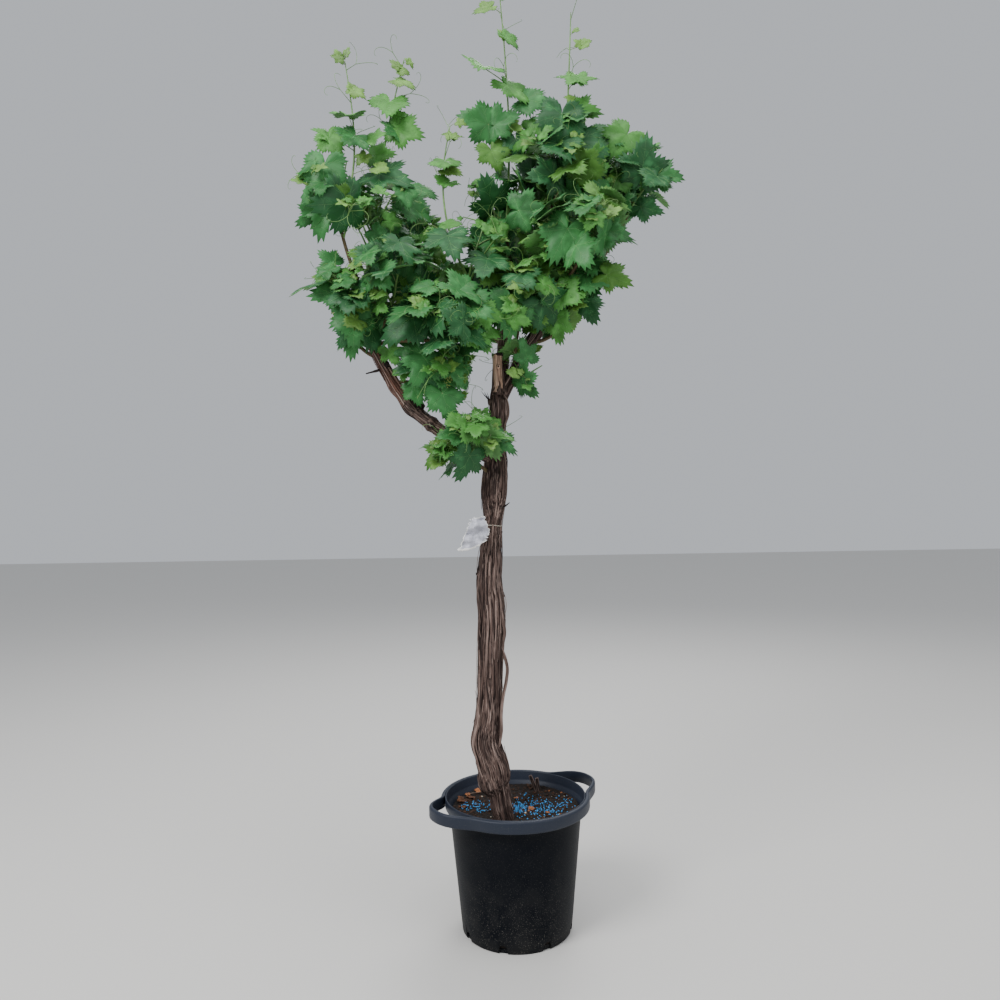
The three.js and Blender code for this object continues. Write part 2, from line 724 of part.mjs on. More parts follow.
// The turned pot: a tapering wall with a ledge, and a rim whose skirt hangs outside the wall.
function potBody() {
  const skirt = RIM_RADIUS - RIM_SKIRT_WALL;
  return turned(
    [
      [0, 0],
      [POT_BASE_RADIUS - POT_FOOT, 0],
      [POT_BASE_RADIUS, POT_FOOT],
      [POT_LEDGE_RADIUS, POT_LEDGE_HEIGHT],
      [POT_NECK_RADIUS, POT_LEDGE_HEIGHT + POT_LEDGE_RISE],
      [POT_NECK_RADIUS, POT_HEIGHT - RIM_TOP_THICKNESS],
      [skirt, POT_HEIGHT - RIM_TOP_THICKNESS],
      [skirt, RIM_SKIRT_BOTTOM],
      [RIM_RADIUS, RIM_SKIRT_BOTTOM],
      [RIM_RADIUS, POT_HEIGHT - RIM_EDGE],
      [RIM_RADIUS - RIM_EDGE, POT_HEIGHT],
      [POT_NECK_RADIUS - POT_WALL, POT_HEIGHT],
      [POT_NECK_RADIUS - POT_WALL, POT_LEDGE_HEIGHT + POT_LEDGE_RISE + POT_WALL / 2],
      [POT_LEDGE_RADIUS - POT_WALL, POT_LEDGE_HEIGHT + POT_WALL / 2],
      [POT_BASE_RADIUS - POT_WALL, POT_WALL],
      [0, POT_WALL],
    ],
    POT_SIDES,
  );
}

// The stretch of rim that a handle takes the place of.
function rimNotch(angle) {
  const [inner, outer] = [POT_NECK_RADIUS + NOTCH.inside, RIM_RADIUS + NOTCH.outside];
  const [low, high] = [RIM_SKIRT_BOTTOM - NOTCH.beyond, POT_HEIGHT + NOTCH.beyond];
  const rings = Array.from({ length: NOTCH.steps + 1 }, (_, i) => {
    const turn = angle + HANDLE_HALF_ARC * ((2 * i) / NOTCH.steps - 1);
    const out = new THREE.Vector3(Math.cos(turn), Math.sin(turn), 0);
    return [
      [inner, low],
      [outer, low],
      [outer, high],
      [inner, high],
    ].map(([radius, height]) => plus(out.clone().multiplyScalar(radius), UP, height));
  });
  return outward(skinned(rings));
}

// The same solid with its faces pointing out.
function outward(solid) {
  if (solid.volume() > 0) return solid;
  const mesh = solid.getMesh();
  const triVerts = mesh.triVerts.slice();
  for (let i = 0; i < triVerts.length; i += 3) {
    const second = triVerts[i + 1];
    triVerts[i + 1] = triVerts[i + 2];
    triVerts[i + 2] = second;
  }
  return new wasm.Manifold(new wasm.Mesh({ numProp: 3, vertProperties: mesh.vertProperties, triVerts }));
}

// How far a handle stands out of the rim, from 0 at its ends to 1 in its middle.
const handleBulge = (share) => 0.5 + 0.5 * Math.cos(Math.PI * Math.abs(share) ** 1.25);

// A handle: the band of the rim swept out in a bow, with a gap for the fingers behind it.
function handleSolid(angle) {
  const half = HANDLE_HALF_ARC - GAP / RIM_RADIUS;
  const rings = Array.from({ length: HANDLE_STEPS + 1 }, (_, i) => {
    const share = (2 * i) / HANDLE_STEPS - 1;
    const turn = angle + half * share;
    const out = new THREE.Vector3(Math.cos(turn), Math.sin(turn), 0);
    const bulge = handleBulge(share);
    const outer = RIM_RADIUS + HANDLE_BULGE * bulge;
    const inner = outer - HANDLE_THICKNESS;
    const rise = HANDLE_RISE * bulge;
    const top = POT_HEIGHT + rise * HANDLE_TOP_RISE;
    return [
      [inner, RIM_SKIRT_BOTTOM + rise],
      [outer, RIM_SKIRT_BOTTOM + rise],
      [outer, POT_HEIGHT - RIM_EDGE + rise],
      [outer - HANDLE_EDGE, top],
      [inner, top],
    ].map(([radius, height]) => plus(out.clone().multiplyScalar(radius), UP, height));
  });
  return outward(skinned(rings));
}

function potSolid() {
  const holes = Array.from({ length: DRAIN_HOLES }, (_, k) => {
    const turn = DRAIN_ANGLE + (FULL_TURN * k) / DRAIN_HOLES;
    const hole = new THREE.CylinderGeometry(DRAIN_RADIUS, DRAIN_RADIUS, DRAIN_DEPTH, DRAIN_SIDES);
    hole.rotateZ(Math.PI / 2).rotateZ(turn);
    hole.translate(POT_BASE_RADIUS * Math.cos(turn), POT_BASE_RADIUS * Math.sin(turn), DRAIN_HEIGHT);
    return solidOf(hole);
  });
  const notches = [HANDLE_ANGLE, HANDLE_ANGLE + Math.PI].map(rimNotch);
  return mainBody(cutBy(potBody(), ...holes, ...notches));
}

// The compost fills the pot to below the ledge, with a low mound, and holds what stands in it.
function compostSolid(standing) {
  const foot = POT_WALL + GAP;
  const widest = POT_BASE_RADIUS - POT_WALL - COMPOST_CLEARANCE;
  const edge = COMPOST_HEIGHT - COMPOST_EDGE_DROP;
  const body = turned(
    [
      [0, foot],
      [widest + POT_SLOPE * foot, foot],
      [widest + POT_SLOPE * edge, edge],
      [POT_BASE_RADIUS - COMPOST_SHOULDER, COMPOST_HEIGHT],
      [POT_BASE_RADIUS / 2, COMPOST_HEIGHT + COMPOST_MOUND * 0.6],
      [0, COMPOST_HEIGHT + COMPOST_MOUND],
    ],
    POT_SIDES,
  );
  return cutBy(body, ...standing);
}

// A dead root stump with two prongs.
function stumpSolid(grow = 0) {
  const { x, y, depth, fork, sides } = STUMP;
  const prongs = STUMP_PRONGS.map(({ lean, top, radius }) =>
    tube(
      [
        { at: new THREE.Vector3(x, y, COMPOST_HEIGHT - depth - grow), radius: radius + grow, level: true },
        { at: new THREE.Vector3(x - lean * 0.4, y, COMPOST_HEIGHT + fork), radius: radius * 0.9 + grow },
        { at: new THREE.Vector3(x - lean, y, COMPOST_HEIGHT + top), radius: radius * 0.6 + grow },
      ],
      sides,
    ),
  );
  return joined(prongs);
}

// A trunk ring at a height, out from the trunk's surface by a distance.
function trunkRing(height, off) {
  const stations = limbStations("trunk");
  const above = stations.findIndex(({ at }) => at.z > height);
  const [low, high] = [stations[above - 1], stations[above]];
  const share = (height - low.at.z) / (high.at.z - low.at.z);
  const rings = tubeRings(stations, LIMB_SIDES, fluted);
  const centre = low.at.clone().lerp(high.at, share);
  return rings[above - 1].map((point, k) => {
    const at = point.clone().lerp(rings[above][k], share);
    return plus(at, unit(minus(at, centre)), off);
  });
}

// A closed loop of thin cord through points that lie on a level.
function cordLoop(points, radius) {
  const count = points.length;
  const centre = points.reduce((sum, point) => plus(sum, point, 1 / count), new THREE.Vector3());
  const corners = points.flatMap((point) => {
    const out = unit(minus(point, centre));
    return [
      plus(point, out, radius),
      plus(point, UP, radius),
      plus(point, out, -radius),
      plus(point, UP, -radius),
    ];
  });
  const triangles = [];
  for (let i = 0; i < count; i++)
    for (let k = 0; k < 4; k++) {
      const [a, b] = [i * 4 + k, i * 4 + ((k + 1) % 4)];
      const next = ((i + 1) % count) * 4 - i * 4;
      triangles.push([a, a + next, b + next], [a, b + next, b]);
    }
  return outward(solidFrom(corners, triangles));
}

// The label hangs beside the trunk: a sheet of small panels, bent out of flat by a seeded rule.
function labelSolid() {
  const { columns } = LABEL;
  const rows = LABEL.left.length - 1;
  const corner = (i, j, side) => {
    const x = THREE.MathUtils.lerp(LABEL.left[j][0], LABEL.right[j][0], i / columns);
    const z = THREE.MathUtils.lerp(LABEL.left[j][1], LABEL.right[j][1], i / columns);
    const bend = LABEL.bend * spread(32, i * 10 + j, 1) + side * LABEL.thickness * 0.5;
    return new THREE.Vector3(x, LABEL.y + bend, z);
  };
  const points = [];
  for (const side of [-1, 1])
    for (let j = 0; j <= rows; j++) for (let i = 0; i <= columns; i++) points.push(corner(i, j, side));
  const layer = (columns + 1) * (rows + 1);
  const triangles = [];
  for (let j = 0; j < rows; j++)
    for (let i = 0; i < columns; i++) {
      const a = j * (columns + 1) + i;
      const c = a + columns + 2;
      triangles.push([a, a + 1, c], [a, c, c - 1]);
      triangles.push([a + layer, c + layer, a + 1 + layer], [a + layer, c - 1 + layer, c + layer]);
    }
  const border = [];
  for (let i = 0; i < columns; i++) border.push(i);
  for (let j = 0; j < rows; j++) border.push(j * (columns + 1) + columns);
  for (let i = columns; i > 0; i--) border.push(rows * (columns + 1) + i);
  for (let j = rows; j > 0; j--) border.push(j * (columns + 1));
  border.forEach((a, k) => {
    const b = border[(k + 1) % border.length];
    triangles.push([b, a, a + layer], [b, a + layer, b + layer]);
  });
  const sheet = outward(solidFrom(points, triangles));
  const loop = trunkRing(TIE.height, TIE.standOff);
  const from = loop.reduce((best, point) => (point.x + point.y < best.x + best.y ? point : best));
  const to = corner(columns - 1, rows - 1, 0);
  const string = tube(
    [from, plus(from, vector(TIE.slack)), to].map((at) => ({ at, radius: TIE.radius })),
    4,
  );
  return mainBody(joined([sheet, cordLoop(loop, TIE.radius), string]));
}

// Assembly

const finish = (color, roughness) => new THREE.MeshStandardMaterial({ color, roughness, metalness: 0 });
const POT_PLASTIC = finish(0x20262e, 0.55);
const COMPOST = finish(0x2f241c, 0.95);
const BARK = finish(0x57463e, 0.9);
const CUT_WOOD = finish(0x9c7f6a, 0.85);
const RED_BARK = finish(0x7a5545, 0.85);
const FOLIAGE = finish(0x2f6b34, 0.6);
const PALE_FOLIAGE = finish(0x5f9a45, 0.6);
const LABEL_WHITE = finish(0xe8e8ee, 0.7);

const vine = new THREE.Group();
vine.name = "potted_vine";

// Puts a solid into the group as a named mesh.
function place(name, solid, material) {
  const { vertProperties, triVerts, numProp } = solid.getMesh();
  const geometry = new THREE.BufferGeometry();
  const count = vertProperties.length / numProp;
  const position = new Float32Array(count * 3);
  for (let i = 0; i < count; i++) position.set(vertProperties.subarray(i * numProp, i * numProp + 3), i * 3);
  geometry.setAttribute("position", new THREE.BufferAttribute(position, 3));
  geometry.setIndex(new THREE.BufferAttribute(triVerts, 1));
  geometry.computeVertexNormals();
  const mesh = new THREE.Mesh(geometry, material);
  mesh.name = name;
  vine.add(mesh);
}

const grownLimb = (name) => limbSolid(name, GAP);
const limbs = {
  trunk: limbSolid("trunk"),
  left_arm_lower: cutBy(limbSolid("left_arm_lower"), grownLimb("trunk")),
  left_arm_upper: cutBy(limbSolid("left_arm_upper"), grownLimb("left_arm_lower")),
  trunk_stub: cutBy(limbSolid("trunk_stub"), grownLimb("trunk")),
  right_arm: cutBy(limbSolid("right_arm"), grownLimb("trunk"), grownLimb("trunk_stub")),
  centre_arm: cutBy(limbSolid("centre_arm"), ...["trunk", "trunk_stub", "right_arm"].map(grownLimb)),
};
const LIMB_FINISH = { trunk_stub: CUT_WOOD, left_arm_upper: RED_BARK };

place("pot", potSolid(), POT_PLASTIC);
place("handle_right", handleSolid(HANDLE_ANGLE), POT_PLASTIC);
place("handle_left", handleSolid(HANDLE_ANGLE + Math.PI), POT_PLASTIC);
place("compost", compostSolid([grownLimb("trunk"), stumpSolid(GAP)]), COMPOST);
place("root_stump", stumpSolid(), BARK);
for (const [name, solid] of Object.entries(limbs)) place(name, mainBody(solid), LIMB_FINISH[name] ?? BARK);
for (const { name, solid } of foliage()) {
  const pale = /trunk|stub/.test(name);
  place(name, solid, pale ? PALE_FOLIAGE : FOLIAGE);
}
place("plant_label", labelSolid(), LABEL_WHITE);

export default vine;
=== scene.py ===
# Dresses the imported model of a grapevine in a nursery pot.
# Lengths are in millimetres, as in the part's source, and in metres where MM is a factor of them.
# +X is the viewer's right, +Y points away and +Z is up. The origin is under the middle of the pot.
import json
from math import cos, hypot, log, pi, radians, sin, sqrt

import bmesh
import bpy
from bpy.props import FloatProperty, FloatVectorProperty, IntProperty, PointerProperty
from bpy.types import Operator, Panel, PropertyGroup
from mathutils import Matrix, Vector, noise


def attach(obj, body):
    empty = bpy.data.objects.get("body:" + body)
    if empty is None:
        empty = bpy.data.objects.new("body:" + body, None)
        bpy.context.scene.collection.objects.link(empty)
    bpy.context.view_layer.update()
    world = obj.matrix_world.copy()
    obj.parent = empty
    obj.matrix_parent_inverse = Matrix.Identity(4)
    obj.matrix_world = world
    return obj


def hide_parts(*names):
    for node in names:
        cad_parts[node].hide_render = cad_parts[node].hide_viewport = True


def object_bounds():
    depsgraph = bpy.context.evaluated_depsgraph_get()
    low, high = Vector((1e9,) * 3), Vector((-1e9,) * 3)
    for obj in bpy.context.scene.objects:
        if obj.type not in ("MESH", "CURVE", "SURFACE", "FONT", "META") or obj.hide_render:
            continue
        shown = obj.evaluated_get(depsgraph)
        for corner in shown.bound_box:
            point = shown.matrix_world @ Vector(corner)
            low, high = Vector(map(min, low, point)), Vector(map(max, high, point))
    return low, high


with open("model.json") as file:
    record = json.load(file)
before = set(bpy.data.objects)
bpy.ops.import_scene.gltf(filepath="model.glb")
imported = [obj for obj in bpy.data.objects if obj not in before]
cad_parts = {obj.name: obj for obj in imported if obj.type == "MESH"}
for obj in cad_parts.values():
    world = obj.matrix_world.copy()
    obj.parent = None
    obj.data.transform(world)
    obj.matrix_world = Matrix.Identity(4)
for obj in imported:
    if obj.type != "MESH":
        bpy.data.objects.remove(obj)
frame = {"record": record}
CAD_LOW, CAD_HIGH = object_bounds()

bl_info = {
    "name": "Potted Grapevine",
    "version": (1, 0, 0),
    "blender": (4, 5, 0),
    "location": "3D View > Sidebar > Vine",
    "description": "Grows bark, leaves, pot and compost on the packed model of a grapevine",
    "category": "Object",
}

MM = 0.001
UP = Vector((0, 0, 1))
FRONT = Vector((0, -1, 0))
FULL_TURN = 2 * pi
GOLDEN_ANGLE = pi * (3 - sqrt(5))
BODY = "root"

# Woody limbs: each station is x, y, z and the radius there
LIMBS = {
    "trunk": [
        (-25, -66, 290, 24), (-36, -63, 335, 27), (-42, -61, 374, 27.5), (-49, -60, 396, 36),
        (-54, -58, 432, 39.5), (-66, -57, 472, 37), (-74, -56, 505, 36), (-66, -53, 570, 31),
        (-61, -50, 700, 30), (-56, -46, 820, 32), (-59, -42, 908, 30), (-52, -38, 1013, 24),
        (-48, -36, 1060, 21), (-43, -32, 1137, 32), (-37, -29, 1209, 29), (-33, -25, 1282, 22),
        (-28, -22, 1355, 24), (-28, -22, 1394, 21),
    ],
    "left_arm_lower": [
        (-45, -35, 1222, 18), (-110, -44, 1258, 18), (-169, -50, 1290, 17.5), (-254, -60, 1357, 16),
    ],
    "left_arm_upper": [
        (-254, -60, 1357, 16), (-300, -66, 1430, 14.5), (-342, -70, 1510, 13.5),
        (-345, -68, 1555, 12.5), (-325, -60, 1600, 11),
    ],
    "trunk_stub": [
        (-27, -34, 1394, 14), (-29, -38, 1491, 12.5),
    ],
    "right_arm": [
        (-20, -14, 1385, 18), (15, -5, 1450, 17), (59, 5, 1528, 16), (105, 14, 1595, 14),
        (135, 20, 1645, 12),
    ],
    "centre_arm": [
        (-28, -2, 1385, 18), (-14, 30, 1500, 16), (-6, 55, 1620, 14.5), (40, 75, 1700, 13),
        (76, 84, 1738, 11),
    ],
}


def mass(name, limb, share, centre, reach, shoots, leaves, width, seed, leader=None):
    """One mass of leaves: where its stem leaves a limb, the space that it fills and what it bears."""
    return {
        "name": name,
        "limb": limb,
        "share": share,
        "centre": Vector(centre) * MM,
        "reach": Vector(reach) * MM,
        "shoots": shoots,
        "leaves": leaves,
        "width": width * MM,
        "seed": seed,
        "leader": leader,
    }


def long_shoot(via, tip, leaves, first, width, taper):
    """A long shoot that stands out of its mass."""
    return {
        "via": Vector(via) * MM,
        "tip": Vector(tip) * MM,
        "leaves": leaves,
        "first": first,
        "width": width * MM,
        "taper": taper,
    }


MASSES = [
    mass("left_low", "left_arm_upper", 0.55, (-415, -70, 1612), (100, 105, 120), 6, 5, 118, 44723),
    mass(
        "left_high", "left_arm_upper", 0.985, (-425, -80, 1888), (95, 105, 115), 6, 4, 128, 25896,
        long_shoot((-365, -60, 1960), (-406, -60, 2240), 7, 0.35, 100, 0.75),
    ),
    mass(
        "left_middle", "left_arm_upper", 0.9, (-345, 0, 1880), (105, 120, 150), 6, 5, 115, 3,
        long_shoot((-330, -10, 2010), (-262, 0, 2275), 7, 0.3, 112, 0.72),
    ),
    mass("left_heart", "left_arm_upper", 0.77, (-290, -80, 1660), (110, 110, 130), 7, 5, 120, 20061),
    mass("elbow", "left_arm_upper", 0.25, (-190, -80, 1445), (75, 80, 110), 5, 4, 95, 66275),
    mass("front_low", "left_arm_upper", 0.66, (-165, -120, 1560), (115, 100, 100), 6, 5, 118, 39224),
    mass(
        "centre", "centre_arm", 0.55, (-102, -20, 1735), (115, 120, 130), 7, 5, 122, 7,
        long_shoot((-190, 0, 1880), (-143, -20, 2090), 6, 0.35, 85, 0.65),
    ),
    mass(
        "centre_high", "centre_arm", 0.85, (-3, 30, 1885), (125, 120, 120), 6, 5, 125, 8,
        long_shoot((25, 50, 2080), (-14, 40, 2540), 8, 0.2, 115, 0.65),
    ),
    mass("right_heart", "right_arm", 0.3, (32, -50, 1625), (90, 100, 110), 6, 5, 118, 4320),
    mass("right_low", "right_arm", 0.55, (172, 10, 1645), (122, 115, 118), 7, 5, 128, 3035),
    mass("right_front", "right_arm", 0.75, (192, -90, 1780), (120, 110, 108), 7, 5, 120, 1141),
    mass(
        "right_high", "centre_arm", 0.985, (160, 40, 2020), (145, 120, 120), 8, 5, 120, 51878,
        long_shoot((168, 20, 2140), (180, 20, 2405), 7, 0.2, 118, 0.75),
    ),
    mass("right_far", "right_arm", 0.985, (352, 120, 1978), (115, 115, 112), 7, 4, 118, 51300),
    mass("back_left", "centre_arm", 0.4, (-230, 200, 1840), (130, 120, 170), 7, 4, 122, 89654),
    mass("back_right", "centre_arm", 0.7, (110, 230, 1880), (170, 130, 170), 8, 4, 122, 37163),
    mass("trunk", "trunk", 0.805, (-107, -85, 1268), (100, 80, 80), 6, 4, 86, 31080),
    mass("stub", "right_arm", 0.12, (38, -45, 1448), (60, 60, 72), 5, 3, 76, 6761),
]
FRESH_MASSES = ("trunk", "stub", "elbow")
GRAINED_SLOTS = ("bark", "red_bark", "cut_wood")

# Each material's place in the lists that the pieces take
BARK, LOOSE_BARK, DARK_BARK = range(3)
CUT_WOOD, CUT_RIM, CUT_BARK = range(3)
DEEP, MATURE, FRESH, YOUNG, UNDERSIDE, YOUNG_UNDERSIDE, VEIN, OLIVE = range(8)
SHOOT, CANE, STALK, BUD = range(4)
CRUMB, LITTER_CRUMB, GRIT = range(3)
LITTER, BROWN_LITTER, DEAD_TWIG = range(3)
SHEET, STRING, MARGIN = range(3)
POT_WALL_SLOT, POT_RIM_SLOT = range(2)

# Flower clusters, by mass: the place that each hangs nearest to, its length and its width
FLOWERS = {"left_low": ((-500, -110, 1640), 75, 24), "elbow": ((-110, -80, 1480), 62, 22)}
FLOWER_AIM = (-0.12, -0.25, -1)
FLOWER_BRANCHES = 34
FLOWER_BUDS = 5
TENDRIL_STEPS = 26
TIP_LEAVES = 4

# Leaves that the viewer sees one by one, by mass: x and z where the stalk meets the blade, the way
# that the tip points there, in degrees from the right, how far the tip leans to the viewer and how
# far the blade rolls, both in degrees, its width, and its green: 0 deep, 1 mature, 2 fresh, 3 young
# or 7 olive
SINGLE_LEAVES = {
    "left_low": [
        (-420, 1650, 188, 10, 15, 96, 1), (-446, 1731, 140, 0, 10, 56, 1),
        (-462, 1703, 215, 20, 20, 46, 2), (-388, 1540, -100, 10, 10, 78, 1),
    ],
    "elbow": [
        (-301, 1498, -60, 10, 10, 58, 2), (-266, 1450, -30, 10, 10, 56, 2),
        (-240, 1402, -70, 10, 10, 60, 1), (-262, 1505, -20, 10, 20, 64, 1),
    ],
    "right_low": [
        (248, 1674, -25, 10, 15, 80, 7), (198, 1632, -60, 10, 10, 84, 0),
    ],
    "left_high": [
        (-446, 1944, -95, 10, 5, 106, 1), (-450, 1856, -105, 10, 5, 104, 1),
        (-416, 2245, 165, 10, 30, 31, 3), (-403, 2258, 60, 0, 30, 23, 3), (-421, 2253, 120, 0, 20, 23, 3),
        (-382, 2163, -35, 10, 35, 43, 3), (-387, 2168, 120, 0, 40, 26, 3),
        (-395, 2093, -90, 78, 0, 80, 2), (-445, 2039, -60, 20, 10, 74, 2),
        (-452, 2044, 148, 0, 50, 51, 2), (-378, 2043, -120, 52, 0, 87, 1),
        (-340, 2037, 10, 30, 40, 54, 2), (-359, 1994, -130, 10, 20, 38, 3),
        (-326, 1963, -20, 20, 30, 43, 3),
    ],
    "left_middle": [
        (-277, 2254, 140, 0, 35, 31, 3), (-269, 2244, -20, 0, 30, 29, 3), (-248, 2270, -60, 0, 45, 26, 3),
        (-275, 2215, -25, 10, 50, 57, 3), (-297, 2155, -95, 46, 0, 92, 2),
        (-279, 2079, 145, 0, 50, 63, 1), (-289, 2119, 8, 20, 20, 44, 2), (-277, 2084, -20, 12, 10, 86, 2),
        (-338, 2017, 0, 20, 15, 65, 2),
    ],
    "centre": [
        (-119, 2098, -20, 0, 20, 26, 3), (-138, 2062, 165, 0, 42, 34, 3), (-138, 2059, 5, 0, 50, 37, 3),
        (-157, 2000, -90, 58, 0, 76, 2), (-153, 1978, -20, 10, 35, 52, 3),
        (-161, 1947, 150, 10, 30, 37, 2), (-145, 1944, -10, 20, 50, 34, 2),
    ],
    "centre_high": [
        (-22, 2538, 110, 0, 20, 24, 3), (-6, 2528, 60, 0, 20, 28, 3), (-30, 2505, 160, 10, 30, 38, 3),
        (6, 2470, 20, 10, 40, 50, 2), (-37, 2430, 200, 0, 42, 53, 3), (7, 2351, -45, 0, 50, 56, 2),
        (2, 2354, 130, 0, 35, 29, 3), (-53, 2268, -110, 66, 0, 104, 2), (11, 2218, -42, 10, 48, 96, 2),
        (58, 2179, -18, 15, 25, 88, 1), (-44, 2113, 165, 12, 5, 100, 1), (-28, 2111, 20, 10, 10, 90, 1),
        (12, 2113, -20, 20, 20, 48, 3), (62, 2104, 0, 20, 20, 56, 2), (-36, 2045, -70, 15, 10, 82, 7),
        (29, 2072, -80, 10, 10, 78, 0),
    ],
    "right_high": [
        (196, 2356, 200, 0, 40, 19, 3), (203, 2316, 140, 0, 20, 27, 3), (211, 2316, 25, 0, 25, 29, 3),
        (191, 2228, 175, 0, 48, 66, 2), (196, 2226, -3, 0, 45, 61, 2), (179, 2176, 165, 0, 35, 27, 3),
        (192, 2154, -12, 10, 10, 80, 2), (187, 2130, -90, 72, 0, 122, 1),
        (147, 2110, -100, 15, 0, 117, 0),
    ],
    "right_far": [
        (374, 2104, -45, 10, 10, 47, 3), (376, 2071, 12, 15, 35, 72, 1), (333, 2104, -125, 25, 0, 110, 2),
        (280, 2111, -110, 30, 10, 94, 1), (411, 1987, -12, 10, 20, 86, 1),
        (372, 1916, -20, 10, 15, 78, 0),
    ],
}

# Places where the crown is open, as the viewer sees them: x, z and radius by the pot's middle
OPENINGS = [
    (-359, 2090, 58), (-501, 1588, 53), (-467, 1569, 26), (264, 1624, 45), (-416, 1847, 34),
    (205, 2105, 24), (90, 2112, 16), (-424, 1960, 26), (-413, 2015, 24), (424, 1989, 21),
    (98, 1471, 26), (-116, 1889, 26), (375, 1850, 32), (-155, 1901, 24), (-127, 1984, 24),
    (-106, 1834, 16), (-29, 1872, 18), (-425, 1766, 16), (-271, 2005, 18), (-78, 1779, 13),
    (-136, 1743, 16), (-20, 1452, 26), (-24, 1416, 26),
]

# The rule of growth, as in the part's source: for a mass's shoots and for the long ones, the steps
# of the path, the place of the first leaf, how much leaves shrink to the tip, how they droop, and
# how far they face up, outwards, to the viewer and at random. Each kind's draws count from its item.
STEM_STEPS = 6
SHOOT_ITEM = 900
LEADER_ITEM = 950
TIP_ITEM = 5000
SMALL_ITEM = 60
SHOOT_RULE = {
    "steps": 3,
    "first": 0.15,
    "taper": 0.45,
    "droop": 0.5,
    "facing": (0.55, 0.55, 0.5, 0.55),
    "bound": True,
}
LEADER_RULE = {"steps": 8, "droop": 0.35, "facing": (0.3, 0.3, 0.55, 0.7), "bound": False}
LEAF_TRIES = 7
SMALL_TRIES = 4
LIMB_MARGIN = 6 * MM
CROWDING = 0.205
OPENING_MARGIN = 0.22
SMALL_LEAVES = 4
SMALL_SHARE = 0.55
SMALL_MARGIN = 12 * MM
LEAF_TRIM = 0.92
REACH_SLACK = 1.12
BOX_SLACK = 8 * MM
LEAF_SAMPLES = [(0.38, 0), (0.78, 0), (0.45, 0.36), (0.45, -0.36), (0.02, 0.3), (0.02, -0.3)]

# Blades narrower than the first of these have fewer steps, and below the second a younger green
SMALL_WIDTH = 46 * MM
YOUNG_WIDTH = 70 * MM

# The ages from which a leaf is mature, fresh and young, and the share of leaves between that are olive
GREEN_AGES = (0.4, 0.95, 1.6)
OLIVE_AGES = (0.3, 1.4)
OLIVE_SHARE = 0.2

# Pot
POT_HEIGHT = 345
POT_BASE_RADIUS = 143
POT_LEDGE_HEIGHT = 306
POT_LEDGE_RADIUS = 172
POT_NECK_RADIUS = 184
POT_WALL = 4
POT_SIDES = 192
RIM_RADIUS = 195
RIM_BOTTOM = 315
DRAIN_HOLES = 8
DRAIN_RADIUS = 11
DRAIN_ARCH = 10
DRAIN_ANGLE = radians(30)
HANDLE_ANGLE = radians(31)
HANDLE_HALF_ARC = radians(31)
HANDLE_BULGE = 46
HANDLE_RISE = 7
HANDLE_THICKNESS = 9
DUST_AMOUNT = 0.12

# The plastic is lighter and bluer from this point of the pot's profile, a radius and a height, up
# and over to the profile's last few points, which are those of the inner wall: painted light, where
# the neck, the rim and the inner wall catch the sky
NECK_FOOT = (POT_NECK_RADIUS - 1.5, POT_LEDGE_HEIGHT + 11)
INNER_POINTS = 5

# Compost: its level, its mound in the middle, its bank at the edge, and its lumps, as their height,
# their number in a metre and a seed
COMPOST_HEIGHT = 300
COMPOST_MOUND = 7
COMPOST_BANK = 9
COMPOST_RADIUS = 150
COMPOST_LUMPS = [(5.5, 28, 3), (3.0, 95, 9), (1.6, 260, 5)]
COMPOST_SIDES = 240
COMPOST_RINGS = 84
STUMP_PLACE = (66, 122)
STUMP_DEPTH = 6
STUMP_FORK = 16
STUMP_PRONGS = [(22, 50, 6.6), (4, 42.5, 7.7)]

# Heaps of granules: middle, size, and share of the granules. The rest are spread over the compost.
GRANULE_HEAPS = [((9, -8), 27, 0.32), ((-112, 22), 40, 0.12), ((84, 12), 84, 0.34)]
GRANULE_REACH = 158
CRUMB_REACH = 160

# Below the first draw a crumb is compost, below the second dry litter, and else pale grit
CRUMB_DRAWS = (0.955, 0.98)

# Dry leaves on the compost: x, y, width and the way of the tip in radians. The wide ones are brown.
DRY_LEAVES = [
    (-104, 112, 17, 0.4), (-128, 86, 13, 2.2), (-140, 48, 24, 4.0), (-114, 70, 22, 3.1),
    (-140, 14, 22, 5.0), (40, -13, 15, 1.0), (2, 64, 12, 5.2), (84, -44, 10, 2.7),
]
BROWN_WIDTH = 22
TWIG_PATH = [(-68, 110), (-84, 108), (-100, 98), (-116, 95), (-130, 86)]
TWIG_RADIUS = 1.3

# Label
LABEL_Y = -92
LABEL_LEFT = [(-135, 990), (-115, 1038), (-101, 1070)]
LABEL_RIGHT = [(-66, 1014), (-55, 1036), (-68, 1076)]
LABEL_FOLDS = 6
LABEL_THICKNESS = 0.5
LABEL_COLUMNS = 26
LABEL_ROWS = 32
TIE_HEIGHT = 1053
TIE_GAP = 3.0
STRING_RADIUS = 1.1

# Strands of bark that stand off the trunk's right side: their points, and half their width
STRANDS = [
    ([(-31, -58, 850), (-26, -66, 812), (-21, -66, 784), (-24, -64, 760), (-31, -58, 738)], 3.6),
    (
        [(-31, -56, 744), (-21, -60, 712), (-16, -58, 684), (-19, -58, 655), (-25, -60, 628),
         (-31, -66, 598), (-34, -74, 568), (-34, -76, 530), (-40, -72, 490)],
        3.8,
    ),
    ([(-14, -44, 1388), (-5, -50, 1366), (-3, -52, 1338), (-9, -50, 1318), (-18, -46, 1292)], 3.2),
]

# The burr that hangs over the rootstock, as stations
GRAFT_BURR = [
    (-45, -61, 386, 20), (-47, -61, 386.5, 33), (-49, -60, 390, 38), (-52, -60, 398, 39.5),
    (-55, -59, 412, 39), (-58, -58, 430, 37),
]

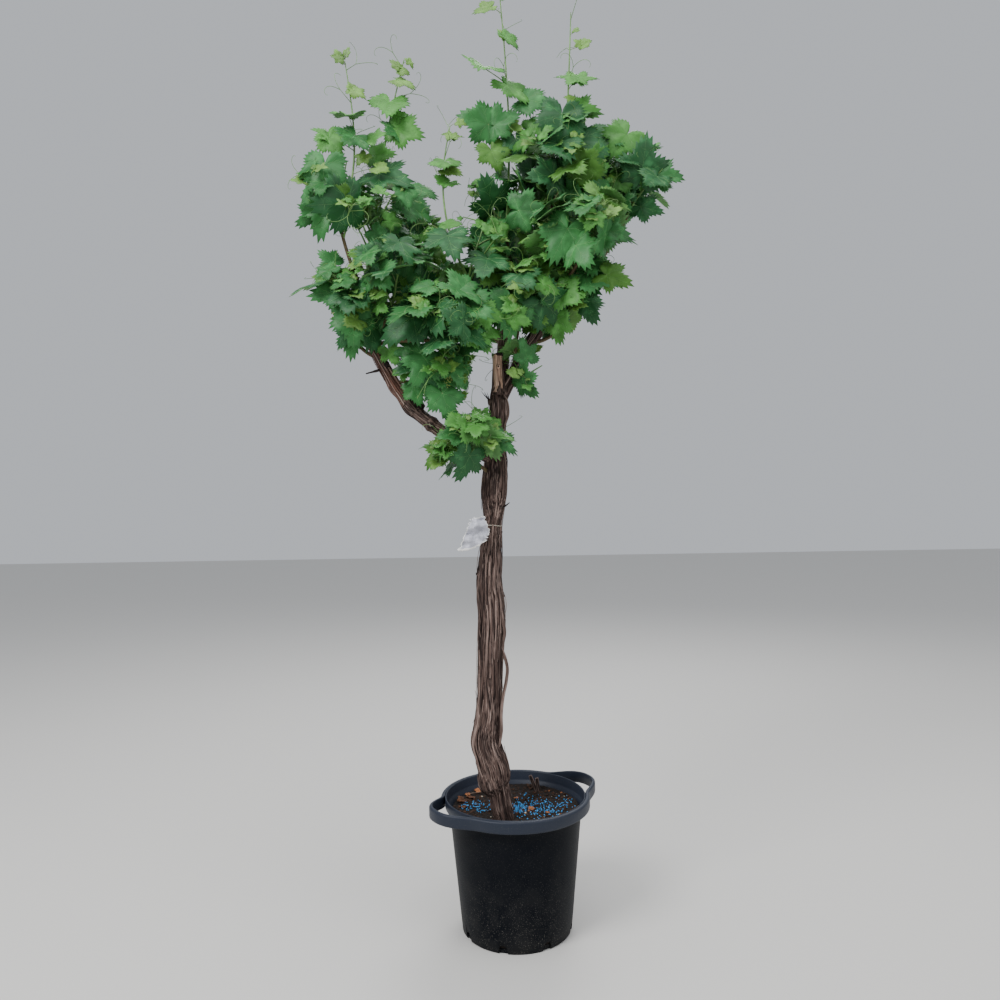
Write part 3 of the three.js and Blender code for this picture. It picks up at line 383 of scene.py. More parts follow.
# Where the bark of an arm starts inside the trunk, as stations
ARM_FEET = {
    "left_arm_lower": [(-36, -34, 1192, 10)],
    "right_arm": [(-27, -20, 1330, 12)],
    "centre_arm": [(-29, -17, 1310, 12), (-29, -10, 1350, 17)],
}

# The knot where the left arm bends, as stations
ARM_KNOT = [
    (-226, -57, 1335, 15), (-238, -58, 1345, 18.5), (-250, -60, 1356, 20.5), (-259, -61, 1368, 19.5),
    (-268, -62, 1382, 16.5), (-277, -63, 1396, 13.5),
]

# The dark broken side shoot on that knot, as stations
ARM_KNOB = [(-246, -60, 1346, 14), (-235, -62, 1355, 14), (-226, -63, 1361, 12.5), (-220, -64, 1366, 8)]

# Where the lower arm's ring of raised bark starts and ends, as shares of the arm's stations, and its rise
ARM_RING = (0.71, 0.79)
ARM_RING_RISE = 4.2

# How many loose strips of bark lie on each arm
ARM_STRIPS = {"left_arm_lower": 26, "left_arm_upper": 24, "right_arm": 18, "centre_arm": 16}

# Widths up the sawn stub, as shares of the solid's
STUB_FLARE = [1.35, 1.06, 0.95, 0.94, 1.0, 1.1]

# The ragged rim round the stub's cut: its reach as a share of the radius, how far it is under the
# cut, and how much of the raggedness it has
STUB_RIM = [(1.0, 5, 0.0), (1.07, 2, 0.3), (1.06, -1.4, 1.0), (0.9, -1.0, 1.0), (0.86, 0.5, 0.0)]
STUB_RIM_SIDES = 56
STUB_SPLINTERS = 30

# Slivers of bark up the stub's sides: their place round it in half turns, and their length
STUB_SLIVERS = [(1.04, 92), (1.12, 60), (1.9, 88), (1.82, 46)]
STUB_KNOT = (-27, -50.5, 1458)

# Floor and light: lights as name, place in metres, width in metres and power in watts
FLOOR_HALF = 14.0
FLOOR_DROP = 0.6
SKY_COLOUR = (0.86, 0.9, 0.96, 1)
SKY_STRENGTH = 0.62
LIGHTS = [
    ("key", (-2.4, -2.4, 3.9), 1.9, 150),
    ("top", (0.2, -0.9, 4.6), 3.0, 60),
    ("fill", (2.8, -2.2, 2.6), 2.6, 30),
    ("back", (0.8, 3.0, 4.0), 2.4, 85),
]
LIGHT_AIM = (0, 0, 1.2)


def linear(red, green, blue):
    """A colour given as it looks on screen, 0 to 255, as the linear numbers that shaders take."""
    parts = (red / 255, green / 255, blue / 255)
    return tuple(c / 12.92 if c <= 0.04045 else ((c + 0.055) / 1.055) ** 2.4 for c in parts) + (1.0,)


# Settings


def colour_setting(name, description, red, green, blue):
    """A colour that a user can change, and its default as it looks on screen, 0 to 255."""
    return FloatVectorProperty(
        name=name, description=description, subtype="COLOR", size=4, default=linear(red, green, blue)
    )


def length_setting(name, description, default, low=0.0):
    """A length that a user can change, and the least that it may be."""
    return FloatProperty(
        name=name, description=description, subtype="DISTANCE", default=default * MM, min=low * MM
    )


def count_setting(name, description, default):
    """A number of things that a user can change."""
    return IntProperty(name=name, description=description, default=default, min=0)


class VineBarkSettings(PropertyGroup):
    """Colours and relief of the trunk and the arms."""

    # Dark bark fills the furrows: partly the bark's own dark colour, partly painted shade in the deepest
    # furrows
    dark: colour_setting("Dark bark", "Colour in the furrows", 38, 28, 26)
    middle: colour_setting("Bark", "Main colour of the bark", 95, 76, 69)
    # The fibres are as pale as the lit ones: partly weathered threads, partly painted highlights
    fibre: colour_setting("Fibres", "Colour of the weathered fibres, lightened as painted highlights", 182, 158, 147)
    red: colour_setting("Young bark", "Colour of the upper left arm", 112, 79, 66)
    cut: colour_setting("Cut wood", "Colour of the sawn stub", 212, 172, 148)
    furrow: length_setting("Furrow depth", "Depth of the deepest furrows", 4.4)
    strips: count_setting("Loose strips", "Number of peeling strips on the trunk", 95)


class VineLeafSettings(PropertyGroup):
    """Colours of leaves, shoots and flowers."""

    deep: colour_setting("Deep green", "Old leaves inside the crown", 42, 97, 53)
    mature: colour_setting("Mature green", "Full-grown leaves", 57, 121, 62)
    fresh: colour_setting("Fresh green", "Leaves near the ends of shoots", 80, 143, 62)
    olive: colour_setting("Olive green", "Leaves that light shines through", 80, 128, 50)
    young: colour_setting("Young green", "Small leaves at the tips", 108, 152, 66)
    underside: colour_setting("Underside", "Pale lower face of the leaves", 90, 142, 76)
    vein: colour_setting("Veins", "Veins and stalks", 112, 162, 98)
    shoot: colour_setting("Shoots", "Green shoots and tendrils", 104, 146, 74)
    cane: colour_setting("Canes", "Woody feet of the shoots", 98, 84, 56)
    blade_thickness: length_setting("Leaf thickness", "Thickness of a leaf blade", 0.7, 0.1)


class VinePotSettings(PropertyGroup):
    """Colours of the pot."""

    # The wall is the plastic's own near-black, darkened further as painted shade under the rim
    wall: colour_setting("Pot wall", "Colour of the moulded wall", 9, 13, 20)
    # The rim's colour is a lighter, bluer copy of the same plastic: painted light on the rim, the
    # handles, the neck and the inner wall
    rim: colour_setting("Rim", "Lighter colour of the rim and handles, painted light", 33, 40, 54)
    dust: colour_setting("Dust", "Dried splashes and dust", 116, 113, 106)


class VineCompostSettings(PropertyGroup):
    """The compost and what lies on it."""

    soil: colour_setting("Compost", "Colour of the compost", 34, 26, 21)
    granule: colour_setting("Granules", "Fertiliser granules", 70, 164, 232)
    litter: colour_setting("Dry leaves", "Dry leaves and bark chips", 172, 108, 66)
    granules: count_setting("Granule count", "Number of fertiliser granules", 580)
    chips: count_setting("Chip count", "Number of crumbs and bark chips", 900)


class VineLabelSettings(PropertyGroup):
    """The blank label."""

    sheet: colour_setting("Sheet", "Colour of the blank sheet", 206, 207, 218)
    margin: colour_setting("Margin", "Colour of the sheet's clear edge", 244, 243, 240)
    crumple: length_setting("Crumple", "Height of the sheet's creases", 11)


class VineStageSettings(PropertyGroup):
    """Floor, lights and camera."""

    floor: colour_setting("Floor", "Colour of the floor", 214, 212, 208)
    distance: length_setting(
        "Camera distance", "How far the camera stands in front of the pot's middle", 2140
    )
    height: length_setting("Camera height", "Height of the lens", 1116)
    side: length_setting(
        "Camera side", "How far right of the pot's middle the camera stands", -28, -5000
    )
    roll: FloatProperty(
        name="Camera roll", description="Tilt of the camera about its view", subtype="ANGLE",
        default=0.0157,
    )
    lens: FloatProperty(name="Lens", description="Focal length in millimetres", default=29.34, min=1)


# Vectors and seeded numbers


def draw(seed, item, channel):
    """An even number from 0 to 1 for one draw on one item, the same on each run."""
    mask = 0xFFFFFFFF
    h = (seed * 374761393 + item * 668265263 + channel * 1274126177 + 974711) & mask
    h = ((h ^ (h >> 13)) * 1274126177) & mask
    h = ((h ^ (h >> 16)) * 2246822519) & mask
    return ((h ^ (h >> 15)) & mask) / 4294967296


def spread(seed, item, channel):
    """An even number from -1 to 1."""
    return 2 * draw(seed, item, channel) - 1


def stray_vector(seed, item, channel):
    """Three even numbers from -1 to 1, from this channel and the next two."""
    return Vector([spread(seed, item, channel + k) for k in range(3)])


def square_to(a, axis):
    """The part of a that is square to an axis, as a unit vector."""
    return (a - axis * a.dot(axis)).normalized()


def turned_about(side, axis, turn):
    """A direction turned by an angle about an axis that is square to it."""
    return side * cos(turn) + axis.cross(side) * sin(turn)


def bearing(turn, rise=0.0):
    """A level direction at an angle from +X, with a rise added to it."""
    return Vector((cos(turn), sin(turn), rise))


def out_from(at, side, other, turn, reach):
    """A point round an axis, by two directions that are square to it, an angle and a distance."""
    return at + side * (reach * cos(turn)) + other * (reach * sin(turn))


def mix(a, b, share):
    """What lies a share of the way from a to b."""
    return a + (b - a) * share


def polar(radius, angle, height):
    """A point from a radius in millimetres, an angle and a height in millimetres."""
    return Vector((radius * cos(angle), radius * sin(angle), height)) * MM


def curve_point(path, t):
    """A point on a curve with four control points."""
    s = 1 - t
    return path[0] * s**3 + path[1] * (3 * s * s * t) + path[2] * (3 * s * t * t) + path[3] * t**3


def curve_run(path, t):
    """The direction of such a curve at a share of it."""
    s = 1 - t
    first, second, third = (b - a for a, b in zip(path, path[1:]))
    return (first * (s * s) + second * (2 * s * t) + third * (t * t)).normalized()


def line_point(path, steps, t):
    """A point on the straight steps that stand for a curve in the solids."""
    i = min(int(t * steps), steps - 1)
    return mix(curve_point(path, i / steps), curve_point(path, (i + 1) / steps), t * steps - i)


# Meshes


class Shape:
    """Points, faces and each face's material slot, gathered before one mesh is made of them."""

    def __init__(self):
        self.points = []
        self.faces = []
        self.slots = []
        self.grain = []
        self.furrow_shading = []

    def add(self, points, faces, slot=0, grain=None, furrow_shading=None):
        """Takes points and the faces between them. Grain and the shading value are for bark: the shading
        value darkens the bark in its furrows, as painted shade.
        """
        start = len(self.points)
        self.points.extend(points)
        self.faces.extend([tuple(start + k for k in face) for face in faces])
        self.slots.extend([slot] * len(faces) if isinstance(slot, int) else slot)
        self.grain.extend(grain or [tuple(point) for point in points])
        self.furrow_shading.extend(furrow_shading or [1.0] * len(points))

    def tube(self, stations, sides, slot=0):
        """A round tube through (point, radius) stations, closed at both ends."""
        points = []
        grain = []
        for at, radius, side, other, length in steps_along(stations):
            for k in range(sides):
                turn = FULL_TURN * k / sides
                points.append(out_from(at, side, other, turn, radius))
                grain.append(grain_at(turn, radius, length))
        self.add(points, ring_faces(len(stations), sides), slot, grain)
        self.add(points[:sides][::-1], [tuple(range(sides))], slot, grain[:sides][::-1])
        self.add(points[-sides:], [tuple(range(sides))], slot, grain[-sides:])

    def bark(self, stations, sides, depth, seed, twist=0.8, ends=1.0, slot=0):
        """Furrowed bark round (point, radius) stations. With ends at 0 it smooths out at the last."""
        points = []
        grain = []
        shading_per_point = []
        total = sum((b[0] - a[0]).length for a, b in zip(stations, stations[1:]))
        for at, radius, side, other, length in steps_along(stations):
            fade = min(1.0, (total - length) / (12 * MM) + ends)
            for k in range(sides):
                turn = FULL_TURN * k / sides
                height, furrow_shading = bark_relief(turn, length, radius, seed, twist)
                reach = radius * fluting(turn, at.z / MM) + fade * depth * height
                points.append(out_from(at, side, other, turn, reach))
                grain.append(grain_at(turn + twist * length, radius, length))
                shading_per_point.append(furrow_shading)
        faces = ring_faces(len(stations), sides)
        faces.append(tuple(range(sides))[::-1])
        faces.append(tuple(range(len(points) - sides, len(points))))
        self.add(points, faces, slot, grain, shading_per_point)

    def ball(self, centre, radius, slot=0, squash=1.0, rough=0.0, seed=0):
        """A small lump of twenty faces."""
        points = [
            centre + Vector((p[0], p[1], p[2] * squash)) * (radius * (1 + rough * spread(seed, k, 3)))
            for k, p in enumerate(LUMP_POINTS)
        ]
        self.add(points, LUMP_FACES, slot)


def steps_along(stations):
    """Each station's point and radius, two directions square to the line, and the length up to it."""
    length = 0.0
    side = None
    for i, (at, radius) in enumerate(stations):
        before = stations[max(0, i - 1)][0]
        after = stations[min(len(stations) - 1, i + 1)][0]
        run = (after - before).normalized()
        length += (at - before).length
        side = square_to(side or (Vector((0, 1, 0)) if abs(run.y) < 0.9 else UP), run)
        yield at, radius, side, run.cross(side), length


def grain_at(turn, radius, length):
    """A place on a limb as if it were straight and upright, for the fibres of its bark."""
    return radius * cos(turn), radius * sin(turn), length


def ring_faces(rings, sides, closed=True):
    """The quads between rings of points."""
    faces = []
    for i in range(rings - 1):
        for k in range(sides if closed else sides - 1):
            a = i * sides + k
            b = i * sides + (k + 1) % sides
            faces.append((a, b, b + sides, a + sides))
    return faces


def bar_faces(rings):
    """The faces of a closed bar with four sides."""
    end = 4 * (rings - 1)
    return ring_faces(rings, 4) + [(3, 2, 1, 0), (end, end + 1, end + 2, end + 3)]


def lump():
    """Corners and faces of a regular lump with twenty faces."""
    g = (1 + sqrt(5)) / 2
    size = sqrt(1 + g * g)
    corners = []
    for a in (-1, 1):
        for b in (-g, g):
            corners += [(0, a, b), (a, b, 0), (b, 0, a)]
    points = [Vector(c) / size for c in corners]
    edge = 2 / size * 1.01
    faces = []
    count = len(points)
    for i in range(count):
        for j in range(i + 1, count):
            for k in range(j + 1, count):
                p, q, r = points[i], points[j], points[k]
                if max((p - q).length, (q - r).length, (r - p).length) < edge:
                    out = (q - p).cross(r - p).dot(p) > 0
                    faces.append((i, j, k) if out else (i, k, j))
    return points, faces


LUMP_POINTS, LUMP_FACES = lump()


def new_mesh(name, points, faces):
    mesh = bpy.data.meshes.new(name)
    mesh.from_pydata(points, [], faces)
    return mesh


def new_object(name, data):
    """An object in the scene, which shows a mesh, a light or a camera."""
    item = bpy.data.objects.new(name, data)
    bpy.context.scene.collection.objects.link(item)
    return item


def make_piece(name, shape, materials, slot, nodes=(), smooth=True):
    """One mesh object on the vine's body, which stands for the nodes that it replaces."""
    mesh = new_mesh(name, shape.points, shape.faces)
    for material in materials:
        mesh.materials.append(material)
    mesh.polygons.foreach_set("material_index", shape.slots)
    mesh.polygons.foreach_set("use_smooth", [smooth] * len(shape.faces))
    if slot in GRAINED_SLOTS:
        grain = mesh.attributes.new("grain", "FLOAT_VECTOR", "POINT")
        grain.data.foreach_set("vector", [value for point in shape.grain for value in point])
        # The stored shading value darkens the bark in its deep furrows: painted shade
        furrow_shading = mesh.attributes.new("furrow_shading", "FLOAT", "POINT")
        furrow_shading.data.foreach_set("value", shape.furrow_shading)
    mesh.update()
    piece = new_object(name, mesh)
    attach(piece, BODY)
    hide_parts(*nodes)
    return piece


# Shader groups and materials


def new_group(name, colours, numbers=(), vectors=()):
    """A shader node group that gives a colour, a height and a roughness.

    It takes the named colours, numbers and vectors. What comes back is its tree, the sockets that
    carry what it takes, and its output node.
    """
    tree = bpy.data.node_groups.new(name, "ShaderNodeTree")
    sockets = [("INPUT", entry, "NodeSocketVector") for entry in vectors]
    sockets += [("INPUT", entry, "NodeSocketColor") for entry in colours]
    sockets += [("INPUT", entry, "NodeSocketFloat") for entry in numbers]
    sockets += [("OUTPUT", "Colour", "NodeSocketColor")]
    sockets += [("OUTPUT", entry, "NodeSocketFloat") for entry in ("Height", "Roughness")]
    for way, entry, kind in sockets:
        tree.interface.new_socket(entry, in_out=way, socket_type=kind)
    return tree, tree.nodes.new("NodeGroupInput").outputs, tree.nodes.new("NodeGroupOutput")


def feed(tree, node, values):
    """Gives inputs of a node, by name or number, a fixed value or a link from a socket."""
    for entry, value in values.items():
        if isinstance(value, bpy.types.NodeSocket):
            tree.links.new(value, node.inputs[entry])
        else:
            node.inputs[entry].default_value = value


def add_noise(tree, vector, scale, detail=4.0, distortion=0.0):
    node = tree.nodes.new("ShaderNodeTexNoise")
    feed(tree, node, {"Vector": vector, "Scale": scale, "Detail": detail, "Distortion": distortion})
    return node.outputs["Fac"]


def add_range(tree, value, low, high, to_low=0.0, to_high=1.0):
    """Brings a value from one range to another, and keeps it inside that."""
    node = tree.nodes.new("ShaderNodeMapRange")
    feed(tree, node, {"Value": value, "From Min": low, "From Max": high})
    feed(tree, node, {"To Min": to_low, "To Max": to_high})
    return node.outputs["Result"]


def add_mix(tree, factor, first, second):
    """Mixes two colours by a factor."""
    node = tree.nodes.new("ShaderNodeMix")
    node.data_type = "RGBA"
    feed(tree, node, {"Factor": factor, 6: first, 7: second})
    return node.outputs[2]


def add_math(tree, operation, first, second):
    node = tree.nodes.new("ShaderNodeMath")
    node.operation = operation
    feed(tree, node, {0: first, 1: second})
    return node.outputs[0]


def add_scale(tree, vector, factors):
    """Stretches a vector along its three axes."""
    node = tree.nodes.new("ShaderNodeVectorMath")
    node.operation = "MULTIPLY"
    feed(tree, node, {0: vector, 1: factors})
    return node.outputs[0]


def object_place(tree):
    return tree.nodes.new("ShaderNodeTexCoord").outputs["Object"]


def fibre_group():
    """Long bark fibres: dark furrows, partly the bark's own colour and partly painted shade, a middle
    tone, and pale threads, partly weathered fibres and partly painted highlights.
    """
    tree, given, target = new_group(
        "Bark fibres", ["Dark", "Middle", "Fibre"], ["Fibre share", "Furrow shading"], ["Grain"]
    )
    grain = given["Grain"]
    plates = add_noise(tree, add_scale(tree, grain, (60, 60, 9)), 1.0, 5.0, 0.6)
    threads = add_noise(tree, add_scale(tree, grain, (260, 260, 12)), 1.0, 6.0, 0.5)
    hairs = add_noise(tree, add_scale(tree, grain, (620, 620, 30)), 1.0, 3.0)
    furrow = add_range(tree, threads, 0.4, 0.56)
    # Low shading values, in the deep furrows, draw the colour to the dark one: painted shade
    furrow = add_math(tree, "MULTIPLY", furrow, add_range(tree, given["Furrow shading"], 0.3, 0.85))
    body = add_mix(tree, furrow, given["Dark"], given["Middle"])
    # Pale threads in the fibre colour: partly weathered fibres, partly painted highlights
    thread_mask = add_range(tree, hairs, 0.5, 0.68)
    pale = add_math(tree, "MULTIPLY", thread_mask, add_range(tree, plates, 0.4, 0.66))
    pale = add_math(tree, "MULTIPLY", pale, given["Fibre share"])
    coarse = add_math(tree, "MULTIPLY", threads, 0.7)
    fine = add_math(tree, "MULTIPLY", hairs, 0.3)
    feed(tree, target, {
        "Colour": add_mix(tree, pale, body, given["Fibre"]),
        "Height": add_math(tree, "ADD", coarse, fine),
        "Roughness": add_range(tree, threads, 0.3, 0.7, 0.95, 0.75),
    })
    return tree


def mottle_group():
    """Uneven greens: broad patches and fine puckering between the veins."""
    tree, given, target = new_group("Leaf mottle", ["Colour", "Light", "Dark"])
    place = object_place(tree)
    broad = add_noise(tree, place, 7.0, 3.0)
    middle = add_noise(tree, place, 38.0, 4.0)
    cells = tree.nodes.new("ShaderNodeTexVoronoi")
    feed(tree, cells, {"Vector": place, "Scale": 240.0})
    body = add_mix(tree, add_range(tree, broad, 0.35, 0.65), given["Dark"], given["Colour"])
    feed(tree, target, {
        "Colour": add_mix(tree, add_range(tree, middle, 0.5, 0.75), body, given["Light"]),
        "Height": cells.outputs["Distance"],
        "Roughness": add_range(tree, middle, 0.3, 0.7, 0.4, 0.56),
    })
    return tree


def dust_group():
    """Dust and dried splashes over a base colour, thicker near the ground and in specks."""
    tree, given, target = new_group("Dust", ["Base", "Dust"], ["Amount"])
    place = object_place(tree)
    film = add_range(tree, add_noise(tree, place, 22.0, 8.0, 0.4), 0.35, 0.75)
    specks = add_range(tree, add_noise(tree, place, 430.0, 1.0), 0.63, 0.72)
    split = tree.nodes.new("ShaderNodeSeparateXYZ")
    feed(tree, split, {0: place})
    low = add_range(tree, split.outputs["Z"], 0.0, 0.2, 1.0, 0.2)
    mask = add_math(tree, "MULTIPLY", add_math(tree, "MULTIPLY", film, low), given["Amount"])
    specks = add_math(tree, "MULTIPLY", specks, add_math(tree, "MULTIPLY", low, 0.7))
    mask = add_math(tree, "MAXIMUM", mask, specks)
    feed(tree, target, {
        "Colour": add_mix(tree, mask, given["Base"], given["Dust"]),
        "Height": add_noise(tree, place, 1400.0, 2.0),
        "Roughness": add_range(tree, mask, 0.0, 0.6, 0.46, 0.8),
    })
    return tree


def shader_group(name, build):
    """The group of that name, built the first time that it is asked for."""
    return bpy.data.node_groups.get(name) or build()


def new_material(name, gloss, group=None, values=None):
    """A material with a Principled shader and, where one is given, a group with its own values."""
    material = bpy.data.materials.new(name)
    material.use_nodes = True
    tree = material.node_tree
    shader = tree.nodes["Principled BSDF"]
    feed(tree, shader, {"Specular IOR Level": gloss})
    if group is None:
        return material, tree, shader, None
    placed = tree.nodes.new("ShaderNodeGroup")
    placed.node_tree = group
    feed(tree, placed, values)
    colour, roughness = placed.outputs["Colour"], placed.outputs["Roughness"]
    feed(tree, shader, {"Base Color": colour, "Roughness": roughness})
    return material, tree, shader, placed


def add_bump(tree, shader, height, distance, strength=1.0):
    bump = tree.nodes.new("ShaderNodeBump")
    feed(tree, bump, {"Distance": distance, "Strength": strength, "Height": height})
    feed(tree, shader, {"Normal": bump.outputs["Normal"]})


def darker(colour, share):
    return tuple(c * share for c in colour[:3]) + (1.0,)


def mix_colour(first, second, share):
    return tuple(a + (b - a) * share for a, b in zip(first[:3], second[:3])) + (1.0,)


def bark_material(name, dark, middle, fibre, share):
    """Bark whose fibres run along the limb, by the grain that its mesh stores."""
    group = shader_group("Bark fibres", fibre_group)
    values = {"Dark": dark, "Middle": middle, "Fibre": fibre, "Fibre share": share}
    material, tree, shader, placed = new_material(name, 0.25, group, values)
    # The grain lays out the fibres, and the shading value paints shade into the furrows
    for stored, socket, entry in (("grain", "Vector", "Grain"), ("furrow_shading", "Fac", "Furrow shading")):
        node = tree.nodes.new("ShaderNodeAttribute")
        node.attribute_name = stored
        feed(tree, placed, {entry: node.outputs[socket]})
    add_bump(tree, shader, placed.outputs["Height"], 1.2 * MM, 0.9)
    return material


def leaf_material(name, colour, gloss=0.26):
    """A living blade in one green, with lighter and darker patches."""
    group = shader_group("Leaf mottle", mottle_group)
    light = tuple(min(1.0, c * 1.45 + 0.01) for c in colour[:3]) + (1.0,)
    values = {"Colour": tuple(colour), "Light": light, "Dark": darker(colour, 0.66)}
    material, tree, shader, placed = new_material(name, gloss, group, values)
    add_bump(tree, shader, placed.outputs["Height"], 0.5 * MM, 0.35)
    return material


def plain_material(name, colour, shade, scale, roughness, bump=0.3 * MM):
    """A matt surface whose colour drifts to a second one, or to a darker share of itself."""
    if isinstance(shade, float):
        shade = darker(colour, shade)
    material, tree, shader, _ = new_material(name, 0.35)
    place = object_place(tree)
    drift = add_range(tree, add_noise(tree, place, scale, 5.0), 0.35, 0.65)
    toned = add_mix(tree, drift, tuple(shade), tuple(colour))
    feed(tree, shader, {"Base Color": toned, "Roughness": roughness})
    add_bump(tree, shader, add_noise(tree, place, scale * 6, 3.0), bump)
    return material


# Limbs


def limb_points(name):
    return [Vector(row[:3]) * MM for row in LIMBS[name]]


def along_limb(name, share):
    """The point and the direction at a share of a limb's length."""
    points = limb_points(name)
    runs = [(b - a).length for a, b in zip(points, points[1:])]
    left = share * sum(runs)
    i = 0
    while i + 1 < len(runs) and left > runs[i]:
        left -= runs[i]
        i += 1
    step = points[i + 1] - points[i]
    return points[i] + step * (left / runs[i]), step.normalized()


# Each straight part of each limb: its start, its step and the wider of its two radii
LIMB_PARTS = [
    (Vector(a[:3]) * MM, Vector(b[:3]) * MM - Vector(a[:3]) * MM, max(a[3], b[3]) * MM)
    for rows in LIMBS.values()
    for a, b in zip(rows, rows[1:])
]


def clear_of_limbs(point, margin=LIMB_MARGIN):
    for start, step, radius in LIMB_PARTS:
        share = min(1.0, max(0.0, (point - start).dot(step) / step.length_squared))
        if (point - start - step * share).length < radius + margin:
            return False
    return True


def smooth_stations(rows, spacing):
    """Points and radii on a smooth line through a limb's stations, one each spacing."""
    rows = [Vector((r[0], r[1], r[2], r[3])) * MM for r in rows]
    ends = [rows[0] * 2 - rows[1]] + rows + [rows[-1] * 2 - rows[-2]]
    stations = []
    for i in range(1, len(ends) - 2):
        a, b, c, d = ends[i - 1], ends[i], ends[i + 1], ends[i + 2]
        count = max(2, round((c - b).to_3d().length / spacing))
        for k in range(count):
            t = k / count
            bend = (a * 2 - b * 5 + c * 4 - d) * t**2
            at = (b * 2 + (c - a) * t + bend + (b * 3 - a - c * 3 + d) * t**3) * 0.5
            stations.append((at.to_3d(), at.w))
    stations.append((rows[-1].to_3d(), rows[-1].w))
    return stations


def fluting(turn, height):
    """The limb's ribbed section, as in the solids: height is in millimetres."""
    return 1 + 0.05 * sin(2 * turn + height / 170) + 0.045 * sin(5 * turn - height / 240)


def bark_relief(turn, length, radius, seed, twist):
    """How bark stands at a place: its height in furrow depths, and from 0 in a furrow to 1 on a plate.
    The bark's colour is darkened by that share, as painted shade in the furrows.
    """
    girth = radius / (30 * MM)
    x = cos(turn) * girth
    y = sin(turn) * girth
    turn += twist * length + 0.4 * noise.noise(Vector((x * 1.3 + seed, y * 1.3, length * 5)))
    x = cos(turn) * girth
    y = sin(turn) * girth
    broad = noise.noise(Vector((x * 1.9 + seed, y * 1.9, length * 4)))
    strips = abs(noise.noise(Vector((x * 5.2, y * 5.2 + seed, length * 4.5))))
    splits = abs(noise.noise(Vector((x * 9.5, y * 9.5, length * 7 + seed))))
    threads = noise.noise(Vector((x * 22, y * 22, length * 20 + seed)))
    plate = min(1.0, strips / 0.3) ** 0.6
    split = min(1.0, splits / 0.22) ** 0.6
    height = 0.4 + 0.5 * broad + (plate - 1) + 0.45 * (split - 1) + 0.16 * threads
    return height, plate * (0.35 + 0.65 * split)


def station_at(stations, height):
    """The station of an upright limb that is nearest to a height in millimetres."""
    return min(stations, key=lambda station: abs(station[0].z - height * MM))


def bark_spot(stations, height, facing):
    """A place on an upright limb's surface at a height, on the side that faces a way."""
    at, radius = station_at(stations, height)
    return at + square_to(Vector(facing), UP) * radius


def strip_on(shape, stations, start, count, turn, width, lift, slot, seed):
    """A loose strip of bark that follows a limb and lifts from it at its ends or its middle."""
    points = []
    grain = []
    thick = 0.9 * MM
    last = min(start + count, len(stations) - 2)
    side = None
    steps = last - start
    if steps < 3:
        return
    for i in range(start, last + 1):
        at, radius = stations[i]
        run = (stations[i + 1][0] - stations[i - 1][0]).normalized()
        side = square_to(side or Vector((0, 1, 0)), run)
        other = run.cross(side)
        t = (i - start) / steps
        wander = 0.16 * noise.noise(Vector((seed * 3.7, t * 3, 0)))
        half = width * (0.35 + 0.65 * sin(pi * min(1, 0.12 + t * 0.88))) * 0.5
        off = lift(t)
        for across, out in ((-1, 0), (0, 0.35), (1, 0), (0, -1)):
            a = turn + wander + across * half / radius
            reach = radius * fluting(a, at.z / MM) + off + out * thick
            points.append(out_from(at, side, other, a, reach))
            grain.append(grain_at(a, radius, i * 4 * MM))
    shape.add(points, bar_faces(steps + 1), slot, grain)


def peeling_strips(shape, stations, count, spacing, slots, seed):
    """Seeded strips of bark all round a limb."""
    for i in range(count):
        length = int((60 + 230 * draw(seed, i, 1)) * MM / spacing)
        start = 2 + int(draw(seed, i, 2) * max(1, len(stations) - length - 6))
        high = (1.6 + 5.2 * draw(seed, i, 3) ** 2) * MM
        free = draw(seed, i, 4) < 0.5

        def lift(t, high=high, free=free):
            ends = (2 * abs(t - 0.5)) ** 3 if free else sin(pi * t)
            return 0.3 * MM + high * ends

        width = (2.4 + 6.0 * draw(seed, i, 5)) * MM
        turn = FULL_TURN * draw(seed, i, 6)
        strip_on(shape, stations, start, length, turn, width, lift, slots[i % len(slots)], seed + i)


def add_splinter(shape, foot, run, across, length, width, thick, slot):
    """A thin pointed slab of bark or wood."""
    other = run.cross(across).normalized()
    points = []
    for t, share in ((0, 1), (0.55, 0.85), (1, 0.15)):
        at = foot + run * (length * t)
        wide = across * (width * 0.5 * share)
        deep = other * (thick * 0.5 * share)
        points += [at + wide, at + deep, at - wide, at - deep]
    shape.add(points, bar_faces(3), slot)


def add_flap(shape, start, end, across, width, thick):
    """A splinter of loose bark from one place to another."""
    run = (end - start).normalized()
    length = (end - start).length
    add_splinter(shape, start, run, square_to(Vector(across), run), length, width, thick, LOOSE_BARK)


def add_twiglet(shape, start, run, length, radius, slot, seed):
    """A short dead twig with a kink and a snapped end."""
    run = run.normalized()
    bend = square_to(stray_vector(seed, 1, 1), run)
    stations = []
    for i in range(7):
        t = i / 6
        at = start + run * (length * t) + bend * (length * 0.12 * sin(pi * t * 1.3))
        stations.append((at, radius * (1.25 - 0.75 * t + (0.25 if i == 3 else 0))))
    shape.tube(stations, 8, slot)


# Growth of shoots and leaves


